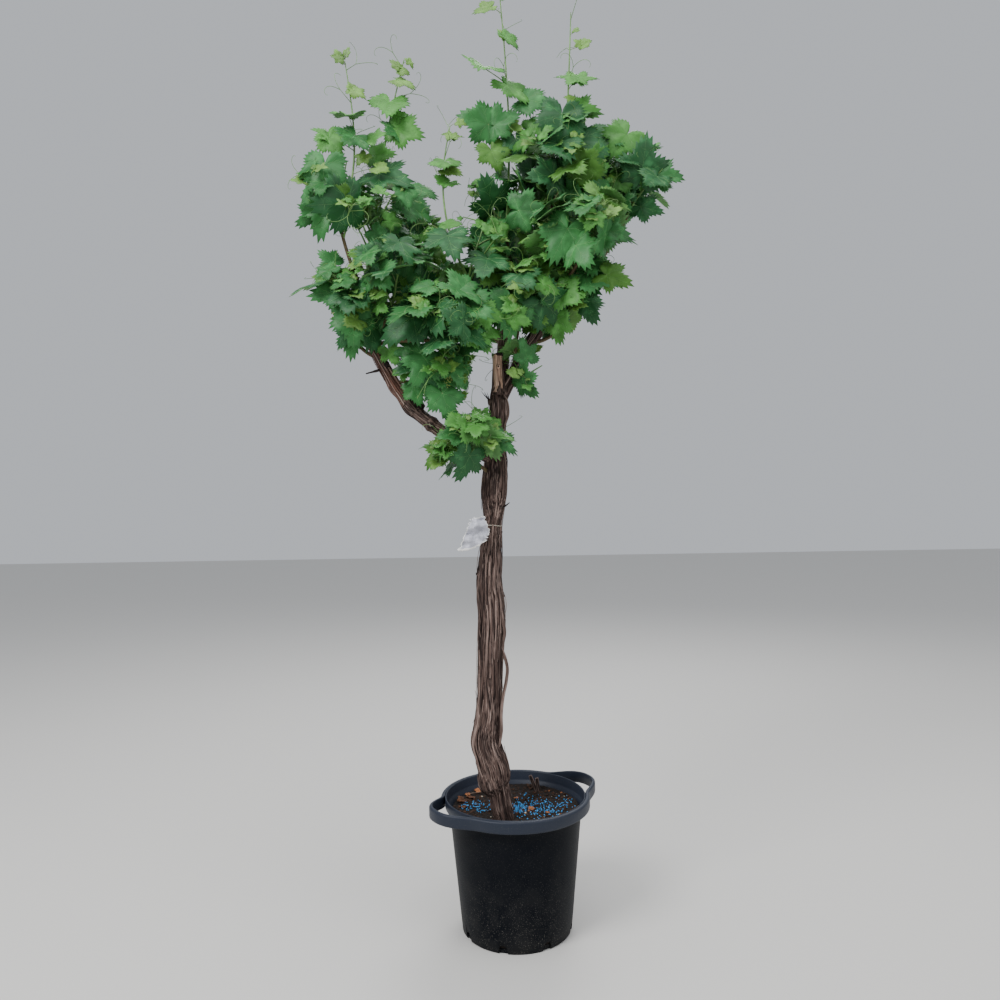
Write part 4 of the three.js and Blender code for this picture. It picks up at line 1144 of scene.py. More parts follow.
def mass_shoots(m):
    """A mass's stem, and its shoots, which end near the edge of its space."""
    centre = m["centre"]
    reach = m["reach"]
    seed = m["seed"]
    root, run = along_limb(m["limb"], m["share"])
    hub = centre - UP * (0.35 * reach.z)
    span = (hub - root).length
    start = (square_to(hub - root, run) + UP * 0.3).normalized()
    stem = [root, root + start * (0.3 * span), hub - UP * (0.12 * span), hub]
    shoots = []
    for i in range(m["shoots"]):
        item = SHOOT_ITEM + i
        rise = 1 - 1.55 * (i + 0.5) / m["shoots"]
        turn = GOLDEN_ANGLE * i + FULL_TURN * draw(seed, item, 1)
        ring = sqrt(max(0.0, 1 - rise * rise))
        aim = Vector((ring * cos(turn), ring * sin(turn), rise))
        far = 0.72 + 0.2 * draw(seed, item, 2)
        tip = centre + Vector((reach.x * aim.x, reach.y * aim.y, reach.z * aim.z)) * far
        begin = line_point(stem, STEM_STEPS, 0.62 + 0.36 * (m["shoots"] - i) / m["shoots"])
        way = (tip - begin).length
        lift = (UP + aim * 0.6).normalized()
        close = (aim + UP * 0.4).normalized()
        shoots.append({
            **SHOOT_RULE,
            "path": [begin, begin + lift * (0.35 * way), tip - close * (0.3 * way), tip],
            "turn": FULL_TURN * draw(seed, item, 4),
            "leaves": m["leaves"],
            "width": m["width"],
            "centre": centre,
        })
    leader = m["leader"]
    if leader:
        bend = leader["via"]
        end = leader["tip"]
        shoots.append({
            **LEADER_RULE,
            **leader,
            "path": [line_point(stem, STEM_STEPS, 0.9), bend, mix(bend, end, 0.5), end],
            "turn": FULL_TURN * draw(seed, LEADER_ITEM, 4),
            "centre": bend + Vector((0, 60, -200)) * MM,
        })
    return stem, shoots


def leaf_point(leaf, along, across, lift=0.0):
    """A point on a leaf, along and across it and lifted off it, in shares of its width."""
    size = leaf["width"]
    return (
        leaf["base"]
        + leaf["along"] * (along * size)
        + leaf["across"] * (across * size)
        + leaf["normal"] * (lift * size)
    )


def leaf_heart(leaf):
    """Where the veins of a leaf meet, on its drooping blade."""
    return leaf_point(leaf, HEART, 0, -0.1 * (HEART - LEAF_MIDDLE) ** 2)


def new_leaf(base, along, normal, width, share, seed, root=None, lean=None):
    """A leaf: how its blade lies, its share of the way up the shoot, and its stalk's root and lean."""
    return {
        "base": base,
        "along": along,
        "across": normal.cross(along),
        "normal": normal,
        "width": width,
        "share": share,
        "seed": seed,
        "root": root,
        "lean": lean,
    }


def leaf_at(m, shoot, index, order, attempt):
    """One try at the leaf at a place on a shoot."""
    seed = m["seed"]
    item = index * 100 + order * 8 + attempt
    pace = (order + 0.5 + 0.3 * spread(seed, item, 1)) / shoot["leaves"]
    t = min(shoot["first"] + (1 - shoot["first"]) * pace, 1)
    width = shoot["width"] * (1 - shoot["taper"] * t**2.2) * (1 + 0.18 * spread(seed, item, 2))
    root = line_point(shoot["path"], shoot["steps"], t)
    run = curve_run(shoot["path"], t)
    side = square_to(UP if abs(run.z) < 0.8 else FRONT, run)
    turn = pi * order + 0.9 * spread(seed, item, 3) + shoot["turn"]
    away = turned_about(side, run, turn)
    out = (root - shoot["centre"]).normalized()
    lean = (away + run * 0.45 + out * 0.5 + UP * 0.15).normalized()
    base = root + lean * (width * (0.42 + 0.25 * draw(seed, item, 4)))
    stray = stray_vector(seed, item, 5)
    up, outward, front, loose = shoot["facing"]
    normal = (UP * up + out * outward + FRONT * front + stray * loose).normalized()
    sway = Vector((0.6 * spread(seed, item, 8), 0, 0.6 * spread(seed, item, 9)))
    along = square_to(lean * 0.7 - UP * shoot["droop"] + sway, normal)
    root = curve_point(shoot["path"], t)
    leaf = new_leaf(base, along, normal, width, t, seed * 7 + item, root, lean)
    leaf["samples"] = [leaf_point(leaf, u, v) for u, v in LEAF_SAMPLES]
    return leaf


def inside_mass(m, point):
    step = point - m["centre"]
    reach = m["reach"] * REACH_SLACK
    return (step.x / reach.x) ** 2 + (step.y / reach.y) ** 2 + (step.z / reach.z) ** 2 <= 1


def inside_box(point, slack=BOX_SLACK):
    return all(CAD_LOW[k] - slack <= point[k] <= CAD_HIGH[k] + slack for k in range(3))


def crowded(leaf, kept):
    for other in kept:
        if (leaf["samples"][0] - other["samples"][0]).length > leaf["width"] + other["width"]:
            continue
        gap = CROWDING * min(leaf["width"], other["width"])
        for p in leaf["samples"]:
            for q in other["samples"]:
                if (p - q).length < gap:
                    return True
    return False


def viewer():
    stage = bpy.context.scene.vine_stage
    return Vector((stage.side, -stage.distance, stage.height))


def in_opening(leaf, point):
    """Whether the viewer sees a leaf in one of the crown's openings."""
    eye = viewer()
    step = point - eye
    at = eye + step * (-eye.y / step.y)
    return any(
        hypot(at.x - x * MM, at.z - z * MM) < radius * MM + OPENING_MARGIN * leaf["width"]
        for x, z, radius in OPENINGS
    )


def single_leaves(m, shoots):
    """The leaves that the viewer sees one by one, each on the nearest shoot, and their greens."""
    leaves = []
    eye = viewer()
    places = [curve_point(shoot["path"], k / 40) for shoot in shoots for k in range(4, 41)]
    for i, (x, z, turn, lean, roll, width, tone) in enumerate(SINGLE_LEAVES.get(m["name"], [])):
        turn, lean, roll = (radians(angle) for angle in (turn, lean, roll))
        width *= MM

        def way_to(place, x=x, z=z, width=width):
            return hypot(place.x - x * MM, place.z + 0.4 * width - z * MM)

        root = min(places, key=way_to)
        heart = Vector((x * MM, root.y - 0.22 * width, z * MM))
        toward = (FRONT * 2 + (eye - heart).normalized()).normalized()
        side = UP.cross(toward).normalized()
        flat = turned_about(side, toward, turn)
        along = flat * cos(lean) + toward * sin(lean)
        normal = toward * cos(lean) - flat * sin(lean)
        across = normal.cross(along)
        if across.z < 0:
            across = -across
        normal = normal * cos(roll) + across * sin(roll)
        base = heart - along * (HEART * width)
        lean = (heart - root).normalized()
        leaf = new_leaf(base, along, normal, width, 0.5, m["seed"] * 3 + i, root, lean)
        leaves.append((leaf, tone))
    return leaves


def shoot_leaves(m, shoot, index, kept, tries=LEAF_TRIES, slack=BOX_SLACK):
    """The leaves that one shoot carries, set in turn on its two sides where there is room.

    A leaf that is out of its place takes room, but doesn't show. With less slack than usual, one
    that comes out of the model's box takes none.
    """
    leaves = []
    for order in range(shoot["leaves"]):
        for attempt in range(tries):
            leaf = leaf_at(m, shoot, index, order, attempt)
            samples = leaf["samples"]
            boxed = all(inside_box(p, slack) for p in samples)
            clear = all(clear_of_limbs(p) for p in samples) and (boxed or slack == BOX_SLACK)
            inside = inside_mass(m, samples[0]) or not shoot["bound"]
            if not clear or not inside or crowded(leaf, kept):
                continue
            kept.append(leaf)
            if boxed and shoot["bound"] and not in_opening(leaf, samples[0]):
                leaves.append(leaf)
            break
    return leaves


def small_leaves(m, shoot, index, kept):
    """Smaller leaves between the others, where there is room."""
    narrow = {**shoot, "width": shoot["width"] * SMALL_SHARE, "leaves": SMALL_LEAVES}
    return shoot_leaves(m, narrow, SMALL_ITEM + index, kept, SMALL_TRIES, -SMALL_MARGIN)


def tip_leaves(m, shoot, index):
    """The small young leaves that crowd round a shoot's tip."""
    leaves = []
    for order in range(TIP_LEAVES):
        item = TIP_ITEM + index * 10 + order
        t = 0.86 + 0.045 * order
        run = curve_run(shoot["path"], t)
        side = square_to(FRONT, run)
        turn = pi * order + 0.8 * spread(m["seed"], item, 1) + shoot["turn"]
        away = turned_about(side, run, turn)
        width = (40 - 7 * order + 8 * spread(m["seed"], item, 2)) * MM
        root = curve_point(shoot["path"], t)
        lean = (away + run * 0.5).normalized()
        normal = (UP * 0.5 - away * 0.3 + FRONT * 0.7).normalized()
        base = root + lean * (width * 0.75)
        along = square_to(lean, normal)
        leaf = new_leaf(base, along, normal, width, 1.3, m["seed"] * 7 + item, root, lean)
        tip = leaf_point(leaf, 0.9, 0)
        if clear_of_limbs(leaf["base"]) and inside_box(tip) and not in_opening(leaf, leaf["base"]):
            leaves.append(leaf)
    return leaves


# Leaf blades

# Half of a blade's edge round the point where its veins meet: angle in degrees, and distance
BLADE_EDGE = [
    (0, 0.84), (9, 0.78), (18, 0.66), (27, 0.53), (33, 0.49), (40, 0.54), (50, 0.61), (58, 0.64),
    (66, 0.61), (76, 0.52), (84, 0.44), (90, 0.42), (97, 0.45), (108, 0.51), (118, 0.53), (130, 0.51),
    (143, 0.45), (157, 0.36), (168, 0.25), (176, 0.12),
]
FULL_EDGE = [(0, 0.8), (58, 0.64), (118, 0.54), (157, 0.38), (176, 0.12)]
VEIN_ANGLES = (0, 58, 118)
STEPS_PER_LOBE = 6
SMALL_STEPS = 4

# Shares of a blade's width: from its base to where the veins meet, from its base to the middle of
# its droop, the teeth of its edge, its puff between the veins, and the widths of main and side veins
HEART = 0.05
LEAF_MIDDLE = 0.36
TOOTH = 0.088
PUFF = 0.03
VEIN_WIDTH = 0.009
SIDE_VEIN_WIDTH = 0.005


def half_angles(steps):
    """Angles from the tip round to the stalk, with every main vein on one of them."""
    stops = list(VEIN_ANGLES) + [176]
    angles = []
    for a, b in zip(stops, stops[1:]):
        angles += [a + (b - a) * k / steps for k in range(steps)]
    return angles + [stops[-1]]


def on_edge(edge, angle):
    """The distance that a table of the edge gives for an angle."""
    for (a, near), (b, far) in zip(edge, edge[1:]):
        if angle <= b:
            return near + (far - near) * (angle - a) / (b - a)
    return edge[-1][1]


def edge_distance(angle, lobing):
    """The blade's reach at an angle. Lobing below 1 fills the bays between its lobes."""
    full = on_edge(FULL_EDGE, angle)
    return full + (on_edge(BLADE_EDGE, angle) - full) * lobing


def blade_surface(leaf, steps):
    """The angles round a blade, two for each step, and a function that gives points on it."""
    seed = leaf["seed"]
    lobing = 0.7 + 0.5 * draw(seed, 1, 11)
    half = half_angles(steps * 2)
    angles = [-a for a in half[:0:-1]] + half
    middle = len(half) - 1
    droop = 0.06 + 0.12 * draw(seed, 1, 12)
    fold = 0.3 * draw(seed, 1, 13) ** 2 - 0.04 + (0.15 if leaf["share"] > 1.1 else 0)
    curl = 0.3 * draw(seed, 1, 14)
    wave = 0.02 + 0.035 * draw(seed, 1, 15)
    phase = FULL_TURN * draw(seed, 1, 16)

    def point(k, share):
        angle = angles[k]
        turn = radians(angle)
        notch = (k - middle) % 2
        tooth = 1.0
        if share > 0.9 and abs(angle) < 172:
            tooth += (-TOOTH if notch else TOOTH) * (1 + 0.5 * spread(seed, k, 17))
        reach = edge_distance(abs(angle), lobing) * share * tooth
        u = HEART + reach * cos(turn)
        v = reach * sin(turn)
        between = abs(sin(pi * (k - middle) / (2 * steps)))
        height = -droop * ((u - LEAF_MIDDLE) ** 2 + v * v)
        height += PUFF * between * share * (1.4 - share)
        height += fold * abs(v)
        height -= curl * max(0.0, u - 0.5) ** 2
        height += wave * share**2 * sin(turn * 5 + phase)
        return leaf_point(leaf, u, v, height)

    return len(angles), middle, point


def add_blade(shape, leaf, thick, slots, small=False):
    """A leaf's upper face, its paler lower face, and the veins, which stand out on both."""
    steps = SMALL_STEPS if small else STEPS_PER_LOBE
    rings = (0.55,) if small else (0.34, 0.7)
    count, middle, point = blade_surface(leaf, steps)
    upper, lower, vein = slots
    inner = range(0, count, 2)
    wide = len(inner)
    heart = leaf_heart(leaf)
    top = [heart] + [point(k, share) for share in rings for k in inner]
    edge = len(top)
    top += [point(k, 1.0) for k in range(count)]
    size = len(top)
    last = edge - wide
    faces = []
    for k in range(wide - 1):
        faces.append((0, k + 1, k + 2))
        for r in range(len(rings) - 1):
            a = 1 + r * wide + k
            faces.append((a, a + wide, a + wide + 1, a + 1))
        a = last + k
        out = edge + 2 * k
        faces += [(a, out, out + 1), (a, out + 1, a + 1), (a + 1, out + 1, out + 2)]
    kinds = [upper] * len(faces) + [lower] * len(faces)
    faces += [tuple(size + k for k in face[::-1]) for face in faces]
    rim = [0] + [1 + r * wide for r in range(len(rings))] + list(range(edge, edge + count))
    rim += [r * wide for r in range(len(rings), 0, -1)]
    for a, b in zip(rim, rim[1:] + rim[:1]):
        faces.append((b, a, size + a, size + b))
        kinds.append(lower)
    down = leaf["normal"] * -thick
    shape.add(top + [p + down for p in top], faces, kinds)
    width = leaf["width"]
    for order in (-2, -1, 0, 1, 2):
        k = middle + order * steps * 2
        line = [heart] + [point(k, share) for share in rings] + [point(k, 0.93)]
        add_vein(shape, leaf, line, VEIN_WIDTH * width, thick, vein)
        if small:
            continue
        for turn in (-2, 2):
            for start in (0.34, 0.62):
                end = k + turn * 2
                if not 0 <= end < count or (abs(order) == 2 and turn * order > 0 and start > 0.5):
                    continue
                middle_share = start * 0.45 + 0.45
                line = [point(k, start), point(k + turn, middle_share), point(end, 0.92)]
                add_vein(shape, leaf, line, SIDE_VEIN_WIDTH * width, thick, vein)


def add_vein(shape, leaf, line, width, thick, slot):
    """A tapering vein of four faces round, proud of both sides of the blade."""
    points = []
    for i, at in enumerate(line):
        run = (line[min(i + 1, len(line) - 1)] - line[max(i - 1, 0)]).normalized()
        across = run.cross(leaf["normal"]).normalized()
        half = width * 0.5 * (1 - 0.6 * i / (len(line) - 1))
        middle = at - leaf["normal"] * (thick * 0.5)
        rise = leaf["normal"] * (thick * 0.5 + 0.35 * MM + half * 0.25)
        points += [middle + across * half, middle + rise, middle - across * half, middle - rise]
    shape.add(points, bar_faces(len(line)), slot)


# Twigs


def add_cane(shape, path, count, wide, narrow, sides, slot, knots=()):
    """A cane along a curve, a little thicker at each knot where a leaf stands."""
    stations = []
    for i in range(count + 1):
        t = i / count
        radius = wide + (narrow - wide) * t
        near = min((abs(t - knot) for knot in knots), default=1.0)
        stations.append((curve_point(path, t), radius * (1 + 0.35 * max(0.0, 1 - near * count))))
    shape.tube(stations, sides, slot)


def add_stalk(shape, leaf, slot):
    """The leaf's stalk: it leaves the shoot sideways and comes up behind the blade."""
    end = leaf_heart(leaf)
    way = (end - leaf["root"]).length
    path = [
        leaf["root"],
        leaf["root"] + (leaf["lean"] + UP * 0.2) * (0.4 * way),
        end - leaf["along"] * (0.22 * way) - leaf["normal"] * (0.12 * way),
        end - leaf["normal"] * (0.4 * MM),
    ]
    thin = 0.4 * MM + 0.009 * leaf["width"]
    stations = []
    for i in range(9):
        radius = thin * (1.25 - 0.35 * sin(pi * i / 8))
        stations.append((curve_point(path, i / 8), radius))
    shape.tube(stations, 6, slot)


def add_tendril(shape, root, run, away, size, slot, seed):
    """A forked tendril: a straight stalk and two arms that curl up."""
    fork = root + (away * 0.8 + run * 0.5 + UP * 0.1).normalized() * size
    shape.tube([(mix(root, fork, i / 4), (1.0 - 0.2 * i / 4) * MM) for i in range(5)], 5, slot)
    start = (fork - root).normalized()
    for arm in (-1, 1):
        normal = square_to(Vector((spread(seed, arm + 2, 1), -1.0, spread(seed, arm + 2, 2))), start)
        side = normal.cross(start) * arm
        at = fork.copy()
        heading = (start + side * 0.35).normalized()
        stations = [(at.copy(), 0.8 * MM)]
        for i in range(TENDRIL_STEPS):
            bend = 0.03 + 0.4 * (i / TENDRIL_STEPS) ** 2.5
            heading = (heading + normal.cross(heading) * (arm * bend) + normal * 0.02).normalized()
            at = at + heading * (size * 1.7 / TENDRIL_STEPS)
            stations.append((at.copy(), (0.8 - 0.4 * i / TENDRIL_STEPS) * MM))
        shape.tube(stations, 5, slot)


def flower_place(m, shoots):
    """Where a mass's flowers hang, the nearest of a few places on its shoots, and their size."""
    near, length, width = FLOWERS[m["name"]]
    near = Vector(near) * MM
    places = [
        line_point(shoot["path"], shoot["steps"], share)
        for shoot in shoots
        if shoot["bound"]
        for share in (0.5, 0.6, 0.7, 0.8)
    ]
    return min(places, key=lambda place: (place - near).length), length * MM, width * MM


def add_flowers(shape, top, length, width, seed):
    """A hanging cluster of small buds on side branches."""
    aim = Vector(FLOWER_AIM).normalized()
    stations = [(top + aim * (length * i / 6), (1.3 - 0.1 * i) * MM) for i in range(7)]
    shape.tube(stations, 6, SHOOT)
    for i in range(FLOWER_BRANCHES):
        t = 0.14 + 0.86 * i / (FLOWER_BRANCHES - 1)
        side = square_to(bearing(GOLDEN_ANGLE * i, 0.2), aim)
        arm = side * (width * 0.42 * sin(pi * (0.15 + 0.8 * (1 - t))) + 1.5 * MM)
        at = top + aim * (length * t)
        shape.tube([(at, 0.5 * MM), (at + arm, 0.4 * MM)], 4, SHOOT)
        for k in range(FLOWER_BUDS):
            place = at + arm * (0.55 + 0.12 * k) + stray_vector(seed, 40 * i + k, 1) * (2.6 * MM)
            shape.ball(place, (1.2 + 0.5 * draw(seed, i, k)) * MM, BUD)


# Operators


class VINE_OT_stage(Operator):
    """Make the floor, the soft lights and the camera"""

    bl_idname = "vine.stage"
    bl_label = "Stage"

    def execute(self, context):
        settings = context.scene.vine_stage
        corners = [
            Vector((x * FLOOR_HALF, y * FLOOR_HALF, -FLOOR_DROP * MM))
            for x, y in ((-1, -1), (1, -1), (1, 1), (-1, 1))
        ]
        mesh = new_mesh("floor", corners, [(0, 1, 2, 3)])
        floor = new_object("floor", mesh)
        material, tree, shader, _ = new_material("Pale floor", 0.5)
        feed(tree, shader, {"Base Color": settings.floor, "Roughness": 0.9})
        mesh.materials.append(material)
        world = bpy.data.worlds.new("Studio")
        world.use_nodes = True
        sky = world.node_tree.nodes["Background"]
        feed(world.node_tree, sky, {"Color": SKY_COLOUR, "Strength": SKY_STRENGTH})
        context.scene.world = world
        for name, place, size, power in LIGHTS:
            self.add_light(name, place, size, power)
        camera = new_object("camera", bpy.data.cameras.new("camera"))
        camera.location = (settings.side, -settings.distance, settings.height)
        camera.rotation_euler = (pi / 2, settings.roll, 0)
        camera.data.sensor_width = 36
        camera.data.lens = settings.lens
        context.scene.camera = camera
        return {"FINISHED"}

    def add_light(self, name, place, size, power):
        light = bpy.data.lights.new(name, "AREA")
        light.shape = "DISK"
        light.size = size
        light.energy = power
        lamp = new_object(name, light)
        lamp.location = place
        aim = Vector(LIGHT_AIM) - lamp.location
        lamp.rotation_euler = aim.to_track_quat("-Z", "Y").to_euler()


def handle_bulge(share):
    """How far a handle stands out of the rim, from 0 at its ends to 1 in its middle."""
    return 0.5 + 0.5 * cos(pi * abs(share) ** 1.25)


def turned(shape, profile, sides):
    """A body turned about the Z axis from (radius, height) points in millimetres."""
    points = []
    for radius, height in profile:
        points += [polar(radius, FULL_TURN * k / sides, height) for k in range(sides)]
    shape.add(points, [face[::-1] for face in ring_faces(len(profile), sides)])


def swept_band(shape, start, end, steps, section):
    """A band along an arc of the rim, whose section is a function of a share from -1 to 1."""
    rings = []
    for i in range(steps + 1):
        share = 2 * i / steps - 1
        angle = start + (end - start) * i / steps
        rings.append([polar(radius, angle, height) for radius, height in section(share)])
    sides = len(rings[0])
    shape.add([p for ring in rings for p in ring], ring_faces(len(rings), sides))
    shape.add(rings[0][::-1], [tuple(range(sides))])
    shape.add(rings[-1], [tuple(range(sides))])


def rim_section(outer, wide, rise=0.0):
    """The section of the rolled rim: its foot, its outer side, its rounded top and its inner side."""
    low = RIM_BOTTOM + rise
    high = POT_HEIGHT + rise
    inner = outer - wide
    points = [(inner + 0.5, low), (outer - 2.5, low), (outer - 0.6, low + 1.2), (outer, low + 4)]
    for k in range(7):
        turn = pi / 2 * k / 6
        points.append((outer - 6 + 6 * cos(turn), high - 6 + 6 * sin(turn)))
    points += [(inner + 2, high), (inner + 0.5, high - 0.7), (inner, high - 2.5)]
    return points


def face_outwards(mesh):
    """Turns the faces of a closed mesh so that they all look out."""
    work = bmesh.new()
    work.from_mesh(mesh)
    bmesh.ops.recalc_face_normals(work, faces=work.faces)
    work.to_mesh(mesh)
    work.free()


class VINE_OT_pot(Operator):
    """Make the moulded pot with its rim and its two handles"""

    bl_idname = "vine.pot"
    bl_label = "Pot"

    def execute(self, context):
        settings = context.scene.vine_pot
        # Two copies of one plastic: the wall darker, as painted shade, and the rim lighter, as painted
        # light
        wall = self.plastic("Pot wall", settings.wall, settings.dust, 0.07)
        rim = self.plastic("Rim plastic with painted light", settings.rim, settings.dust, 0.3)
        self.make_body(wall, rim)
        shape = Shape()
        for turn in (0, pi):
            start = HANDLE_ANGLE + HANDLE_HALF_ARC + turn
            swept_band(
                shape, start, start + pi - 2 * HANDLE_HALF_ARC, 90,
                lambda share: rim_section(RIM_RADIUS, RIM_RADIUS - POT_NECK_RADIUS),
            )
        make_piece("rolled_rim", shape, [rim], "pot_plastic")
        for name, angle in (("handle_right", HANDLE_ANGLE), ("handle_left", HANDLE_ANGLE + pi)):
            shape = Shape()
            swept_band(
                shape, angle - HANDLE_HALF_ARC, angle + HANDLE_HALF_ARC, 60,
                lambda share: rim_section(
                    RIM_RADIUS + HANDLE_BULGE * handle_bulge(share),
                    HANDLE_THICKNESS + 2.0 * (1 - handle_bulge(share)),
                    HANDLE_RISE * handle_bulge(share),
                ),
            )
            make_piece(name + "_bow", shape, [rim], "pot_plastic", [name])
        return {"FINISHED"}

    def plastic(self, name, base, dust, shine):
        """Moulded plastic with dust on it."""
        values = {"Base": tuple(base), "Dust": tuple(dust), "Amount": DUST_AMOUNT}
        group = shader_group("Dust", dust_group)
        material, tree, shader, placed = new_material(name, shine, group, values)
        add_bump(tree, shader, placed.outputs["Height"], 0.25 * MM, 0.6)
        return material

    def make_body(self, wall, rim):
        """The pot, turned from its profile: the foot, the wall up to the rim, and the inside down."""
        shape = Shape()
        foot = POT_BASE_RADIUS
        inner = POT_NECK_RADIUS - POT_WALL
        slope = (POT_LEDGE_RADIUS - foot) / POT_LEDGE_HEIGHT
        profile = [(0.01, 6), (foot - 12, 6), (foot - 9, 0), (foot - 2, 0), (foot, 2.5)]
        profile += [(foot + slope * z, z) for z in (40, 80, 150, 220, 280, 300)]
        profile += [
            (POT_LEDGE_RADIUS, POT_LEDGE_HEIGHT),
            (POT_LEDGE_RADIUS + 3, POT_LEDGE_HEIGHT + 2),
            NECK_FOOT,
            (POT_NECK_RADIUS, POT_LEDGE_HEIGHT + 14),
            (POT_NECK_RADIUS, POT_HEIGHT - 3),
            (POT_NECK_RADIUS - 1, POT_HEIGHT - 0.8),
            (POT_NECK_RADIUS - 2, POT_HEIGHT - 0.2),
            (inner + 1, POT_HEIGHT - 0.8),
            (inner, POT_HEIGHT - 2.5),
            (inner, POT_LEDGE_HEIGHT + 16),
            (inner - 2, POT_LEDGE_HEIGHT + 12),
            (POT_LEDGE_RADIUS - POT_WALL, POT_LEDGE_HEIGHT + 1),
        ]
        profile += [(foot - POT_WALL + slope * z, z) for z in (280, 150, 40, 10)]
        profile += [(0.01, 10)]
        turned(shape, profile, POT_SIDES)
        # Faces from the neck foot up, over the top and down the inner wall take the lighter plastic:
        # painted light
        painted_light_rings = range(profile.index(NECK_FOOT), len(profile) - INNER_POINTS)
        shape.slots = [
            POT_RIM_SLOT if i // POT_SIDES in painted_light_rings else POT_WALL_SLOT for i in range(len(shape.faces))
        ]
        body = make_piece("pot_moulding", shape, [wall, rim], "pot_plastic", ["pot"])
        self.cut_holes(body)

    def cut_holes(self, body):
        """Cuts the round-topped drain holes through the foot of the wall."""
        shape = Shape()
        outline = [(-DRAIN_RADIUS, -2), (DRAIN_RADIUS, -2)]
        for k in range(17):
            turn = pi * k / 16
            outline.append((DRAIN_RADIUS * cos(turn), DRAIN_ARCH + DRAIN_RADIUS * sin(turn)))
        size = len(outline)
        for i in range(DRAIN_HOLES):
            angle = DRAIN_ANGLE + FULL_TURN * i / DRAIN_HOLES
            out = bearing(angle)
            side = Vector((-out.y, out.x, 0))
            points = []
            for far in (POT_BASE_RADIUS - 6, POT_BASE_RADIUS + 9):
                points += [(out * far + side * across + UP * up) * MM for across, up in outline]
            faces = [face[::-1] for face in ring_faces(2, size)]
            faces += [tuple(range(size)), tuple(range(2 * size - 1, size - 1, -1))]
            shape.add(points, faces)
        mesh = new_mesh("drain_cutter", shape.points, shape.faces)
        for solid in (mesh, body.data):
            face_outwards(solid)
        cutter = new_object("drain_cutter", mesh)
        modifier = body.modifiers.new("Drain holes", "BOOLEAN")
        modifier.operation = "DIFFERENCE"
        modifier.solver = "EXACT"
        modifier.object = cutter
        depsgraph = bpy.context.evaluated_depsgraph_get()
        drilled = bpy.data.meshes.new_from_object(body.evaluated_get(depsgraph))
        body.modifiers.clear()
        body.data = drilled
        bpy.data.objects.remove(cutter)
        if len(drilled.polygons) <= len(shape.faces):
            raise RuntimeError("the drain holes could not be cut")


